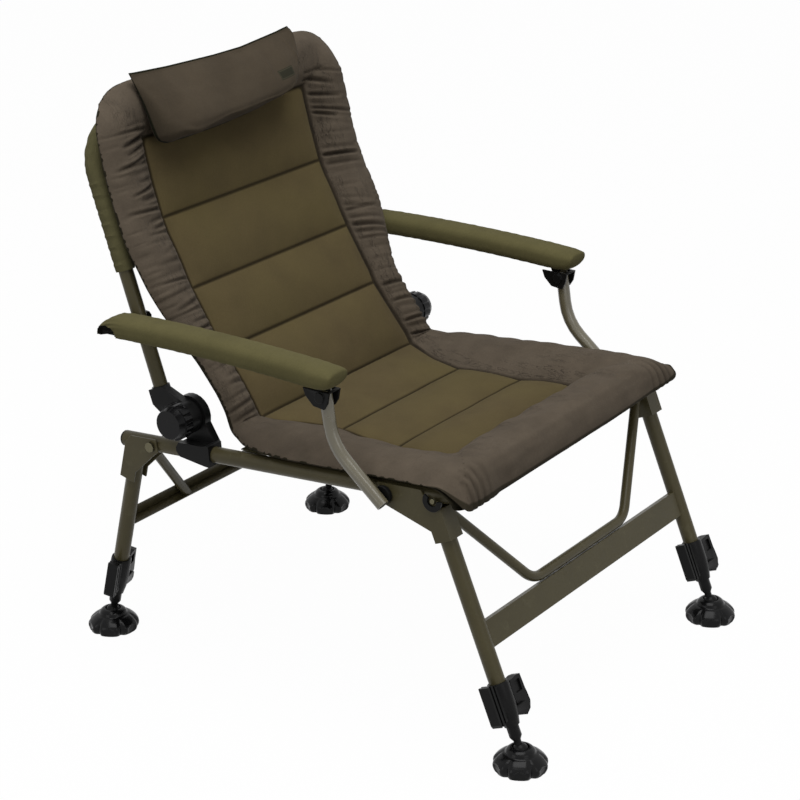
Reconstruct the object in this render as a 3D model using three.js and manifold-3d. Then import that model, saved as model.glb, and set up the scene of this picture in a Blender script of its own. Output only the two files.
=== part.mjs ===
import * as THREE from 'three';
import { mergeVertices } from 'three/addons/utils/BufferGeometryUtils.js';
import Module from 'manifold-3d';

const wasm = await Module();
wasm.setup();

// Angles are in degrees here and lengths in millimetres
const rad = (degrees) => THREE.MathUtils.degToRad(degrees);

// Stance of the chair
const half_track = 255;
const rail_pitch = rad(4.64);
const leg_splay = rad(18.1);
const front_leg_y = -210;
const rear_leg_y = 279;

// Clearances and shared allowances
const seat_gap = 0.3;
const running_gap = 0.4;
const overrun = 4;
const weld_tolerance = 0.0001;

// Seat frame tube
const rail_diameter = 22;
const rail_wall = 1.5;
const rail_rear_y = 302;
const rail_front_y = -234;
const rail_corner_radius = 32;
const cap_length = 4.5;
const cap_plug_length = 14;
const cross_tube_diameter = 14;
const cross_tube_wall = 1.2;
const cross_tube_y = 62;
const cross_tube_drop = 20;
const cross_tube_end_drop = 4;
const cross_tube_inset = 125;
const cross_tube_bend = 60;
const bend_steps = 4;
const small_bend_steps = 3;
const tube_sides = 16;
const bore_sides = 8;
const small_tube_sides = 12;
const small_bore_sides = 8;

// Seat sling
const sling_thickness = 1.6;
const sling_inset = 16;
const sling_edge_height = 7;
const sling_sag = 10;
const sling_rear_y = 112;
const sling_columns = 10;

// Pivot bolts
const bolt_diameter = 8;
const bolt_head_diameter = 15;
const bolt_head_height = 5;
const bolt_sides = 8;

// Legs
const leg_diameter = 22;
const leg_wall = 1.5;
const leg_top_start = 17;
const front_leg_length = 252;
const inner_leg_showing = 94;
const inner_leg_diameter = 16.6;
const inner_leg_overlap = 112;
const neck_diameter = 10;
const ball_diameter = 22;
const ball_height = 25;
const ball_sides = 12;
const ball_rings = 6;
const neck_length = 9;

// Leg brackets
const bracket_plate = 2.5;
const bracket_side_gap = 0.3;
const bracket_web = 2.5;
const bracket_skirt = 58;
const front_pivot_back = 66.4;
const front_pivot_drop = 4;
const rear_pivot_front = 32.2;
const pivot_boss_radius = 13;
const inner_plate_height = 3;
const notch_radius = 16;

// Crossbars and braces
const front_bar_above_collar = 78;
const front_bar_height = 35.5;
const front_bar_depth = 10;
const bar_plate = 2;
const rear_bar_above_collar = 73;
const rear_bar_height = 16;
const rear_bar_depth = 17;
const brace_diameter = 14;
const brace_wall = 1.2;
const brace_run_inset = 138;
const brace_corner_radius = 24;
const brace_top_start = 21;
const strut_top_start = 2;
const strut_foot_inset = 128;

// Leg lock collar
const collar_length = 59;
const collar_radius = 14.5;
const collar_nose_radius = 10.4;
const collar_sides = 12;
const collar_overlap = 15;
const wing_reach = 31;
const wing_rise = 4;
const wing_height = 55;
const wing_thickness = 15;
const wing_rib_depth = 2;
const wing_rib_width = 3;
const lever_pivot_x = 29;
const lever_pivot_drop = 46;
const lever_thickness = 13;
const lever_reach = 41;
const lever_top_drop = 4;
const lever_cam_radius = 11.5;
const ear_thickness = 3.5;
const ear_radius = 7.5;
const lever_pin_diameter = 5;
const rear_left_collar_turn = rad(18);

// Swivel foot
const foot_diameter = 72;
const foot_height = 31;
const foot_lobes = 6;
const foot_sides = 24;
const foot_notch_depth = 4.5;
const foot_notch_share = 0.17;
const foot_notch_height_share = 0.75;
const foot_arch_depth = 3;
const foot_arch_share = 0.25;
const foot_arch_height_share = 0.45;

// Recliner joint, placed from the rail
const recliner_y = 187;
const recliner_z = 48.3;
const recliner_disc_diameter = 56;
const recliner_disc_inset = 16;
const recliner_disc_width = 12;
const recliner_drum_diameter = 47;
const recliner_drum_outset = 16;
const recliner_bolt_diameter = 9;
const knob_diameter = 50;
const knob_outset = 40;
const knob_scallops = 12;
const knob_scallop_radius = 3.6;
const knob_grip_width = 14;
const shoe_front_y = 146;
const shoe_rear_y = 201;
const shoe_wall = 2.6;
const shoe_lip = 2;
const disc_rim = 3.5;
const disc_recess = 2.5;

// Back frame, in the leaning frame of the back
const back_lean = rad(19);
const back_inset = 3;
const back_tube_diameter = 20;
const back_tube_wall = 1.5;
const back_tube_offset = 34.2;
const back_tube_start = 26;
const back_top = 402;
const back_corner_radius = 66;
const socket_start = 25;
const socket_end = 47;
const socket_radius = 12.4;
const socket_plate = 13.2;
const sleeve_start = 209;
const sleeve_half_width = 12.4;
const sleeve_half_depth = 15;
const sleeve_bore_gap = 1;
const sheet_thickness = 1.8;
const back_bend_steps = 5;

// Armrest linkage
const arm_pivot_up = 141;
const arm_half_width = 23;
const arm_half_height = 16;
const arm_side_gap = 1.1;
const arm_rear_reach = 34;
const arm_nose_overhang = 27;
const arm_arch = 7;
const core_diameter = 19;
const core_wall = 1.5;
const core_rear_stub = 5;
const core_front_setback = 42;
const link_tube_diameter = 17.6;
const link_tube_wall = 1.4;
const link_outset = 29.5;
const link_top_reach = 7;
const link_foot_reach = 12;
const link_knee_back = 10;
const link_knee_drop = 66;
const link_knee_radius = 75;
const clevis_length = 54;
const clevis_depth = 24;
const clevis_wall = 3.4;
const clevis_slot_gap = 0.6;
const clevis_roof = 1.6;
const spacer_radius = 13;
const washer_radius = 9;

// Mattress, quilted in channels
const seat_pad_front = -266;
const seat_pad_rear = 124;
const mitre_lean = rad(32.6);
const seam_level_max = 27;
const pad_edge_height = 24;
const pad_border_base = 11.5;
const pad_border_top = 37;
const front_lip_depth = 19.5;
const front_lip_drop = 8;
const seat_pad_outset = 16;
const seat_seam_inset = 104;
const seat_crown = 13;
const back_pad_top = 448;
const back_pad_join = 157;
const back_pad_outset = 10;
const back_seam_inset = 78;
const back_border_crown = 21;
const back_crown = 14;
const back_pad_depth = 5;
const lumbar_depth = 11;
const pad_join_gap = 0.6;
const seam_limit_share = 0.86;
const pillow_inset = 77;
const pillow_bottom_inset = 103;
const pillow_shift = -11;
const pillow_bottom = 352;
const pillow_top = 457;
const pillow_depth = 46;
const pillow_rear = -15.6;
const pillow_top_sag = 9;

// Widths and heights that follow from the track and the legs
const front_lean = leg_splay + rail_pitch;
const rear_lean = leg_splay - rail_pitch;
const rail_height = (front_leg_length + inner_leg_showing) * Math.cos(front_lean) + ball_height
  + front_leg_y * Math.sin(rail_pitch);
const front_bar_start = front_leg_length - front_bar_above_collar;
const sling_half_width = half_track - sling_inset;
const recliner_disc_inner_x = half_track - recliner_disc_inset;
const recliner_drum_outer_x = half_track + recliner_drum_outset;
const knob_outer_x = half_track + knob_outset;
const back_half_width = half_track - back_inset;
const link_x = half_track + link_outset;
const seat_half_width = half_track + seat_pad_outset;
const seat_seam_half = half_track - seat_seam_inset;
const back_half_max = half_track + back_pad_outset;
const back_seam_half = half_track - back_seam_inset;

// Materials
const olive_paint = new THREE.MeshStandardMaterial({ color: 0x57513b, roughness: 0.5, metalness: 0.3 });
const black_plastic = new THREE.MeshStandardMaterial({ color: 0x1b1b1c, roughness: 0.45, metalness: 0 });
const gloss_plastic = new THREE.MeshStandardMaterial({ color: 0x151516, roughness: 0.25, metalness: 0 });
const taupe_cloth = new THREE.MeshStandardMaterial({ color: 0x50483e, roughness: 0.9, metalness: 0 });
const arm_cloth = new THREE.MeshStandardMaterial({ color: 0x5f5a3e, roughness: 0.9, metalness: 0 });
const sling_cloth = new THREE.MeshStandardMaterial({ color: 0x3f3b28, roughness: 0.95, metalness: 0 });
const zinc_steel = new THREE.MeshStandardMaterial({ color: 0x35342e, roughness: 0.4, metalness: 0.8 });

// Turning three.js shapes into solids and back
function solid(geometry) {
  const bare = geometry.clone();
  bare.deleteAttribute('normal');
  bare.deleteAttribute('uv');
  const merged = mergeVertices(bare, weld_tolerance);
  return new wasm.Manifold(new wasm.Mesh({
    numProp: 3,
    vertProperties: new Float32Array(merged.attributes.position.array),
    triVerts: new Uint32Array(merged.index.array),
  }));
}

function surface(body) {
  const mesh = body.getMesh();
  const geometry = new THREE.BufferGeometry();
  geometry.setAttribute('position', new THREE.BufferAttribute(new Float32Array(mesh.vertProperties), 3));
  geometry.setIndex(new THREE.BufferAttribute(new Uint32Array(mesh.triVerts), 1));
  geometry.computeVertexNormals();
  return geometry;
}

function addPiece(parent, name, material, body) {
  const mesh = new THREE.Mesh(surface(body), material);
  mesh.name = name;
  parent.add(mesh);
  return mesh;
}

// A mirror image in the plane x = 0, with its faces turned to point out again
function mirrored(body) {
  const geometry = surface(body);
  geometry.scale(-1, 1, 1);
  const index = geometry.index.array;
  for (let i = 0; i < index.length; i += 3) {
    const second = index[i + 1];
    index[i + 1] = index[i + 2];
    index[i + 2] = second;
  }
  return solid(geometry);
}

function addPair(parent, name, material, leftBody) {
  addPiece(parent, `${name}_left`, material, leftBody);
  addPiece(parent, `${name}_right`, material, mirrored(leftBody));
}

function moved(geometry, x, y, z) {
  return geometry.translate(x, y, z);
}

// Solid shapes with a direction
const acrossX = new THREE.Matrix4().makeBasis(
  new THREE.Vector3(0, 1, 0), new THREE.Vector3(0, 0, 1), new THREE.Vector3(1, 0, 0));
const acrossY = new THREE.Matrix4().makeBasis(
  new THREE.Vector3(0, 0, 1), new THREE.Vector3(1, 0, 0), new THREE.Vector3(0, 1, 0));

function rodX(radius, x0, x1, y, z, sides) {
  const rod = new THREE.CylinderGeometry(radius, radius, x1 - x0, sides);
  rod.rotateZ(-Math.PI / 2);
  return solid(moved(rod, (x0 + x1) / 2, y, z));
}

function rodY(radius, y0, y1, x, z, sides) {
  const rod = new THREE.CylinderGeometry(radius, radius, y1 - y0, sides);
  return solid(moved(rod, x, (y0 + y1) / 2, z));
}

function rodZ(radius, z0, z1, x, y, sides) {
  const rod = new THREE.CylinderGeometry(radius, radius, z1 - z0, sides);
  rod.rotateX(Math.PI / 2);
  return solid(moved(rod, x, y, (z0 + z1) / 2));
}

function block(x0, x1, y0, y1, z0, z1) {
  const box = new THREE.BoxGeometry(x1 - x0, y1 - y0, z1 - z0);
  return solid(moved(box, (x0 + x1) / 2, (y0 + y1) / 2, (z0 + z1) / 2));
}

// A side outline in (y, z), drawn across from x0 to x1
function plateX(shape, x0, x1, curveSegments) {
  const plate = new THREE.ExtrudeGeometry(shape, { depth: x1 - x0, bevelEnabled: false, curveSegments });
  plate.applyMatrix4(acrossX);
  return solid(moved(plate, x0, 0, 0));
}

// A front outline in (z, x), drawn from y0 to y1
function plateY(shape, y0, y1, curveSegments) {
  const plate = new THREE.ExtrudeGeometry(shape, { depth: y1 - y0, bevelEnabled: false, curveSegments });
  plate.applyMatrix4(acrossY);
  return solid(moved(plate, 0, y0, 0));
}

function outline(points) {
  const shape = new THREE.Shape();
  points.forEach((point, i) => (i ? shape.lineTo(point[0], point[1]) : shape.moveTo(point[0], point[1])));
  shape.closePath();
  return shape;
}

// A revolved solid about the Z axis through (x, y)
function turned(profile, sides, x, y) {
  const points = profile.map((point) => new THREE.Vector2(point[0], point[1]));
  const lathe = new THREE.LatheGeometry(points, sides);
  lathe.rotateX(Math.PI / 2);
  return solid(moved(lathe, x, y, 0));
}

// A bent path of straight runs joined by round corners
class BentPath extends THREE.Curve {
  constructor(corners, radius, steps) {
    super();
    this.stops = [corners[0].clone()];
    for (let i = 1; i < corners.length - 1; i += 1) {
      const into = corners[i].clone().sub(corners[i - 1]).normalize();
      const out = corners[i + 1].clone().sub(corners[i]).normalize();
      const half = into.angleTo(out) / 2;
      const inward = out.clone().sub(into).normalize();
      const centre = corners[i].clone().add(inward.multiplyScalar(radius / Math.cos(half)));
      const axis = into.clone().cross(out).normalize();
      const arm = corners[i].clone().sub(into.clone().multiplyScalar(radius * Math.tan(half))).sub(centre);
      for (let step = 0; step <= steps; step += 1) {
        this.stops.push(centre.clone().add(arm.clone().applyAxisAngle(axis, (2 * half * step) / steps)));
      }
    }
    this.stops.push(corners[corners.length - 1].clone());
  }

  getPointAt(u, target = new THREE.Vector3()) {
    return target.copy(this.stops[Math.round(u * (this.stops.length - 1))]);
  }

  getTangentAt(u, target = new THREE.Vector3()) {
    const last = this.stops.length - 1;
    const i = Math.round(u * last);
    return target.copy(this.stops[Math.min(i + 1, last)]).sub(this.stops[Math.max(i - 1, 0)]).normalize();
  }
}

// Pipe along a path with an oval section of half widths a and b
function pipe(path, a, b, sides) {
  const section = new THREE.Shape();
  for (let i = 0; i < sides; i += 1) {
    const angle = (2 * Math.PI * i) / sides;
    const x = a * Math.cos(angle);
    const y = b * Math.sin(angle);
    if (i) section.lineTo(x, y);
    else section.moveTo(x, y);
  }
  section.closePath();
  return solid(new THREE.ExtrudeGeometry(section, {
    steps: path.stops.length - 1, extrudePath: path, bevelEnabled: false,
  }));
}

// A bent tube with an open bore
function bentTube(path, diameter, wall, sides = tube_sides, hollow_sides = bore_sides) {
  const outer = pipe(path, diameter / 2, diameter / 2, sides);
  const first = path.stops[0];
  const last = path.stops[path.stops.length - 1];
  const bore = new BentPath([first, last], 0, 1);
  bore.stops = path.stops.map((stop) => stop.clone());
  const startRun = path.stops[0].clone().sub(path.stops[1]).normalize().multiplyScalar(overrun);
  const endRun = last.clone().sub(path.stops[path.stops.length - 2]).normalize().multiplyScalar(overrun);
  bore.stops[0].add(startRun);
  bore.stops[bore.stops.length - 1].add(endRun);
  return outer.subtract(pipe(bore, diameter / 2 - wall, diameter / 2 - wall, hollow_sides));
}

const vec = (x, y, z) => new THREE.Vector3(x, y, z);
const both = (make) => [make(-1), make(1)];

// Frames: the chair stands on the ground, the seat is pitched, the legs and back lean from it
const chair = new THREE.Group();
const stand = new THREE.Group();
const seat = new THREE.Group();
seat.position.set(0, 0, rail_height);
seat.rotation.x = -rail_pitch;
stand.add(seat);
chair.add(stand);

const frontLegs = new THREE.Group();
frontLegs.position.set(0, front_leg_y, 0);
frontLegs.rotation.x = -leg_splay;
seat.add(frontLegs);
const rearLegs = new THREE.Group();
rearLegs.position.set(0, rear_leg_y, 0);
rearLegs.rotation.x = leg_splay;
seat.add(rearLegs);

// Where a point of the pitched seat lies above the ground
function seatPoint(y, z) {
  return {
    y: y * Math.cos(rail_pitch) + z * Math.sin(rail_pitch),
    z: rail_height - y * Math.sin(rail_pitch) + z * Math.cos(rail_pitch),
  };
}

const front_hip = seatPoint(front_leg_y, 0);
const rear_hip = seatPoint(rear_leg_y, 0);
const front_reach = front_hip.z / Math.cos(front_lean);
const rear_reach = rear_hip.z / Math.cos(rear_lean);
const front_foot_y = front_hip.y - (front_hip.z - ball_height) * Math.tan(front_lean);
const rear_foot_y = rear_hip.y + (rear_hip.z - ball_height) * Math.tan(rear_lean);
const rear_leg_length = rear_reach - ball_height / Math.cos(rear_lean) - inner_leg_showing;
const rear_bar_start = rear_leg_length - rear_bar_above_collar;
stand.position.y = -(front_foot_y + rear_foot_y) / 2;

// Seat frame tube, bent from one length, with its pivot holes
const rail_radius = rail_diameter / 2;
const front_pivot_y = front_leg_y + front_pivot_back;
const front_pivot_z = -front_pivot_drop;
const rear_pivot_y = rear_leg_y - rear_pivot_front;
const bolt_radius = bolt_diameter / 2;
const bolt_hole = bolt_radius + running_gap;

const seat_path = new BentPath([
  vec(-half_track, rail_rear_y, 0), vec(-half_track, rail_front_y, 0),
  vec(half_track, rail_front_y, 0), vec(half_track, rail_rear_y, 0),
], rail_corner_radius, bend_steps);
let seat_frame = bentTube(seat_path, rail_diameter, rail_wall);
for (const [y, z] of [[front_pivot_y, front_pivot_z], [rear_pivot_y, 0]]) {
  const reach = half_track + rail_diameter;
  seat_frame = seat_frame.subtract(rodX(bolt_hole, -reach, reach, y, z, bolt_sides));
}
addPiece(seat, 'seat_frame', olive_paint, seat_frame);

// Plugs that close the tails of the side rails
const plug_radius = (rail_radius - rail_wall) * Math.cos(Math.PI / bore_sides) - seat_gap;
const cap_profile = [
  [0, -cap_plug_length], [plug_radius, -cap_plug_length], [plug_radius, seat_gap],
  [rail_radius, seat_gap], [rail_radius, cap_length / 2], [rail_radius * 0.8, cap_length], [0, cap_length],
];
const cap_lathe = new THREE.LatheGeometry(cap_profile.map((p) => new THREE.Vector2(p[0], p[1])), tube_sides);
addPair(seat, 'rail_end_cap', black_plastic, solid(moved(cap_lathe, -half_track, rail_rear_y, 0)));

// Cross tube under the seat, dropped clear of the sitter and coped to the rails
const cross_tube_run = half_track - cross_tube_inset;
const cross_path = new BentPath([
  vec(-half_track, cross_tube_y, -cross_tube_end_drop),
  vec(-half_track + cross_tube_inset - cross_tube_bend, cross_tube_y, -cross_tube_drop),
  vec(cross_tube_run + cross_tube_bend, cross_tube_y, -cross_tube_drop),
  vec(half_track, cross_tube_y, -cross_tube_end_drop),
], cross_tube_bend, small_bend_steps);
let cross_tube = bentTube(cross_path, cross_tube_diameter, cross_tube_wall,
  small_tube_sides, small_bore_sides);
for (const side of [-1, 1]) {
  const gap_radius = rail_radius + seat_gap;
  const y0 = cross_tube_y - cross_tube_diameter * 2;
  const y1 = cross_tube_y + cross_tube_diameter * 2;
  cross_tube = cross_tube.subtract(rodY(gap_radius, y0, y1, side * half_track, 0, tube_sides));
}
cross_tube = cross_tube.intersect(block(
  -half_track + rail_radius * 0.9, half_track - rail_radius * 0.9,
  cross_tube_y - cross_tube_diameter, cross_tube_y + cross_tube_diameter,
  -cross_tube_drop - cross_tube_diameter, cross_tube_diameter));
addPiece(seat, 'seat_cross_tube', olive_paint, cross_tube);

// Sling cloth hung between the side rails, sagging to the middle
function slingHeight(x) {
  const share = x / sling_half_width;
  return sling_edge_height - sling_sag * (1 - share * share);
}
const sling_front_y = rail_front_y + rail_radius + seat_gap;
const sling_upper = [];
const sling_lower = [];
for (let i = 0; i <= sling_columns; i += 1) {
  const x = sling_half_width * ((2 * i) / sling_columns - 1);
  sling_upper.push([slingHeight(x), x]);
  sling_lower.unshift([slingHeight(x) - sling_thickness, x]);
}
const rail_clear = pipe(seat_path, rail_radius + seat_gap, rail_radius + seat_gap, tube_sides);
addPiece(seat, 'seat_sling', sling_cloth,
  plateY(outline([...sling_upper, ...sling_lower]), sling_front_y, sling_rear_y, 1).subtract(rail_clear));

// Bolts that the legs fold on; the front ones also carry the arm links
function pivotBolt(inner, outer, y, z) {
  const shank = rodX(bolt_radius, -outer, -inner, y, z, bolt_sides);
  const head = rodX(bolt_head_diameter / 2, -inner, -inner + bolt_head_height, y, z, bolt_sides);
  return shank.add(head);
}
const plate_outer = half_track + rail_radius + bracket_side_gap + bracket_plate;
const plate_inner = half_track - rail_radius - bracket_side_gap - bracket_plate;
const bolt_seat = plate_inner - seat_gap;
addPair(seat, 'front_pivot_bolt', zinc_steel, pivotBolt(bolt_seat, link_x, front_pivot_y, front_pivot_z));
const rear_bolt = pivotBolt(bolt_seat, plate_outer + seat_gap, rear_pivot_y, 0)
  .add(rodX(bolt_head_diameter / 2, -plate_outer - seat_gap - bolt_head_height * 0.8,
    -plate_outer - seat_gap, rear_pivot_y, 0, bolt_sides));
addPair(seat, 'rear_pivot_bolt', zinc_steel, rear_bolt);

// Folding leg frames, in a frame whose Z axis runs up the leg
function legPair(group, kind, length) {
  const bore = leg_diameter / 2 - leg_wall;
  const tube = rodZ(leg_diameter / 2, -length, -leg_top_start, -half_track, 0, tube_sides)
    .subtract(rodZ(bore, -length - overrun, -leg_top_start + overrun, -half_track, 0, tube_sides));
  addPiece(group, `${kind}_leg_left`, olive_paint, tube);
  addPiece(group, `${kind}_leg_right`, olive_paint, mirrored(tube));
}
legPair(frontLegs, 'front', front_leg_length + collar_overlap);
legPair(rearLegs, 'rear', rear_leg_length + collar_overlap);

function coped(bar, height) {
  let cut = bar;
  for (const side of [-1, 1]) {
    cut = cut.subtract(
      rodZ(leg_diameter / 2 + seat_gap, -height * 2, -overrun, side * half_track, 0, tube_sides));
  }
  return cut;
}

// Front crossbar: a channel with its web outwards, coped to the legs
const bar_half = half_track - leg_diameter / 4;
const web_y = -front_bar_depth / 2;
const front_bar_end = front_bar_start + front_bar_height;
const channel = outline([
  [web_y, -front_bar_end], [-web_y, -front_bar_end], [-web_y, -front_bar_end + bar_plate],
  [web_y + bar_plate, -front_bar_end + bar_plate], [web_y + bar_plate, -front_bar_start - bar_plate],
  [-web_y, -front_bar_start - bar_plate], [-web_y, -front_bar_start], [web_y, -front_bar_start],
]);
addPiece(frontLegs, 'front_crossbar', olive_paint,
  coped(plateX(channel, -bar_half, bar_half, 1), front_bar_end));

// Front brace: one tube bent to a U that lies on the crossbar and rises to the brackets
const brace_radius = brace_diameter / 2;
const brace_half_run = half_track - brace_run_inset;
const brace_z = -(front_bar_start - brace_radius - seat_gap);
const brace_path = new BentPath([
  vec(-half_track, 0, -brace_top_start + (half_track - plate_inner)), vec(-brace_half_run, 0, brace_z),
  vec(brace_half_run, 0, brace_z), vec(half_track, 0, -brace_top_start + (half_track - plate_inner)),
], brace_corner_radius, small_bend_steps);
const brace_limit = plate_inner - seat_gap;
const front_brace = bentTube(brace_path, brace_diameter, brace_wall,
  small_tube_sides, small_bore_sides).intersect(
  block(-brace_limit, brace_limit, -brace_diameter, brace_diameter, brace_z - brace_diameter, overrun));
addPiece(frontLegs, 'front_brace', olive_paint, front_brace);

// Rear crossbar: an angle bar, with a strut down to it from each bracket
const angle_y = rear_bar_depth / 2;
const rear_bar_end = rear_bar_start + rear_bar_height;
const angle_bar = outline([
  [-angle_y, -rear_bar_end], [angle_y, -rear_bar_end], [angle_y, -rear_bar_start],
  [angle_y - bar_plate, -rear_bar_start], [angle_y - bar_plate, -rear_bar_end + bar_plate],
  [-angle_y, -rear_bar_end + bar_plate],
]);
const strut_y = angle_y - bar_plate * 1.2 - brace_radius;
const strut_drop = rear_bar_end - bar_plate / 2;
const strut_top = vec(-half_track, strut_y, -strut_top_start + (half_track - plate_inner));
const strut_foot = vec(strut_foot_inset - half_track, strut_y, -strut_drop);
const strut_line = strut_foot.clone().sub(strut_top).normalize().multiplyScalar(brace_diameter);
const strut_path = new BentPath([strut_top, strut_foot.add(strut_line)], 0, 1);
const strut = bentTube(strut_path, brace_diameter, brace_wall, small_tube_sides, small_bore_sides)
  .intersect(block(-brace_limit, 0, -brace_diameter * 2, brace_diameter * 2, -strut_drop, overrun));
addPiece(rearLegs, 'rear_crossbar', olive_paint,
  coped(plateX(angle_bar, -bar_half, bar_half, 1), rear_bar_end).add(strut).add(mirrored(strut)));

// Leg brackets: pressed channels that straddle the rail, turn on the pivot bolt and bear up
// under the rail; the outline is in the seat's (y, z), with the leg leaning away to one side
function legBracket(hip, lean, pivotY, pivotZ, toFront) {
  const out = toFront ? -1 : 1;
  const tip = (along, across) => [
    hip + out * (along * Math.sin(lean) + across * Math.cos(lean)),
    -along * Math.cos(lean) + across * Math.sin(lean),
  ];
  const edge = leg_diameter / 2 + bracket_side_gap + bracket_web;
  const shape = new THREE.Shape();
  const skirtOut = tip(bracket_skirt, edge);
  const skirtIn = tip(bracket_skirt, -edge + bracket_web);
  const kneeIn = tip(bracket_skirt * 0.72, -edge + bracket_web);
  const shoulder = tip(rail_radius * 0.4, edge);
  const heel = [pivotY - out * pivot_boss_radius * 0.9, pivotZ - pivot_boss_radius * 0.55];
  const heelTop = [pivotY - out * pivot_boss_radius * 0.75, rail_radius];
  const toeTop = [hip - out * rail_radius * 0.9, rail_radius];
  shape.moveTo(...skirtOut);
  shape.lineTo(...shoulder);
  if (toFront) {
    shape.lineTo(hip - notch_radius * 0.55, -rail_radius * 0.35);
    shape.lineTo(hip + notch_radius * 0.35, rail_radius * 0.2);
  } else {
    shape.lineTo(hip + notch_radius * 0.2, rail_radius);
  }
  shape.lineTo(...toeTop);
  shape.lineTo(...heelTop);
  shape.lineTo(...heel);
  shape.lineTo(pivotY - out * pivot_boss_radius * 0.2, pivotZ - pivot_boss_radius);
  shape.lineTo(...kneeIn);
  shape.lineTo(...skirtIn);
  shape.closePath();
  const body = plateX(shape, -plate_outer, -plate_inner, 1);
  const open = edge - bracket_web;
  const cavity = outline([
    tip(bracket_skirt + overrun, open),
    tip((rail_radius + seat_gap + open * Math.sin(lean)) / Math.cos(lean), open),
    [hip + out * edge * 3, -rail_radius - seat_gap],
    [hip + out * edge * 3, edge * 2], [pivotY - out * edge * 2, edge * 2],
    [pivotY - out * edge * 2, -bracket_skirt * 2], tip(bracket_skirt * 2, -edge * 2),
    tip(bracket_skirt * 2, open),
  ]);
  const inside = plateX(cavity, -plate_outer + bracket_plate, -plate_inner - bracket_plate, 1);
  const low = toFront ? inner_plate_height - overrun : inner_plate_height;
  const trim = block(-plate_inner - bracket_plate - seat_gap, -plate_inner + overrun,
    Math.min(hip, pivotY) - bracket_skirt * 2, Math.max(hip, pivotY) + bracket_skirt * 2, low, edge * 2);
  return body.subtract(inside).subtract(trim).subtract(rail_clear)
    .subtract(rodX(bolt_hole, -plate_outer - overrun, -plate_inner + overrun, pivotY, pivotZ, bolt_sides));
}
addPair(seat, 'front_bracket', olive_paint,
  legBracket(front_leg_y, leg_splay, front_pivot_y, front_pivot_z, true));
addPair(seat, 'rear_bracket', olive_paint, legBracket(rear_leg_y, leg_splay, rear_pivot_y, 0, false));

// Lock collar: a tapered sleeve round the end of the leg, a ribbed wing and a cam lever in two ears
function lockCollar(top) {
  const foot = top + collar_length;
  const shelf = top + collar_overlap;
  const facet_share = Math.cos(Math.PI / collar_sides);
  const leg_bore = leg_diameter / 2 / facet_share + seat_gap / 2;
  const inner_bore = inner_leg_diameter / 2 / facet_share + seat_gap / 2;
  const sleeve = turned([
    [leg_bore, -top], [leg_bore, -shelf - seat_gap], [inner_bore, -shelf - seat_gap], [inner_bore, -foot],
    [collar_nose_radius, -foot], [collar_radius * 0.93, -foot + collar_length * 0.25],
    [collar_radius, -foot + collar_length * 0.5], [collar_radius, -top - collar_length * 0.05],
    [collar_radius * 0.93, -top], [leg_bore, -top],
  ], collar_sides, 0, 0);
  const wing_top = top - wing_rise;
  const wing_foot = wing_top + wing_height;
  const wing = outline([
    [-wing_top, -wing_reach], [-wing_top, -wing_reach * 0.75],
    [-wing_top - wing_rise * 1.5, -collar_radius * 0.9],
    [-wing_foot + wing_rise, -collar_radius * 0.8], [-wing_foot, -wing_reach * 0.7],
    [-wing_foot, -wing_reach * 0.93],
    [-wing_foot + wing_rise, -wing_reach],
  ]);
  let body = sleeve.add(plateY(wing, -wing_thickness / 2, wing_thickness / 2, 1));
  for (const share of [0.62, 0.84]) {
    const x = -wing_reach * share;
    for (const face of [-1, 1]) {
      const y = face * wing_thickness / 2;
      body = body.subtract(block(x - wing_rib_width / 2, x + wing_rib_width / 2,
        y - wing_rib_depth, y + wing_rib_depth, -wing_foot - overrun, -wing_top + overrun));
    }
  }
  const pivot_z = -top - lever_pivot_drop;
  const inside = lever_thickness / 2 + running_gap;
  for (const face of [-1, 1]) {
    const y0 = face > 0 ? inside : -inside - ear_thickness;
    const ear = outline([
      [pivot_z + ear_radius, collar_radius * 0.5], [pivot_z + ear_radius, lever_pivot_x],
      [pivot_z + ear_radius * 0.6, lever_pivot_x + ear_radius * 0.7],
      [pivot_z - ear_radius * 0.6, lever_pivot_x + ear_radius * 0.7],
      [pivot_z - ear_radius, lever_pivot_x], [pivot_z - ear_radius * 0.4, collar_nose_radius * 0.8],
    ]);
    body = body.add(plateY(ear, y0, y0 + ear_thickness, 1));
  }
  body = body.add(rodY(lever_pin_diameter / 2, -inside - ear_thickness * 0.8, inside + ear_thickness * 0.8,
    lever_pivot_x, pivot_z, bolt_sides));
  return body.subtract(rodZ(inner_bore, -foot - overrun, -shelf, 0, 0, collar_sides))
    .subtract(rodZ(leg_bore, -shelf - seat_gap, -top + wing_rise * 2, 0, 0, collar_sides));
}

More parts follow.
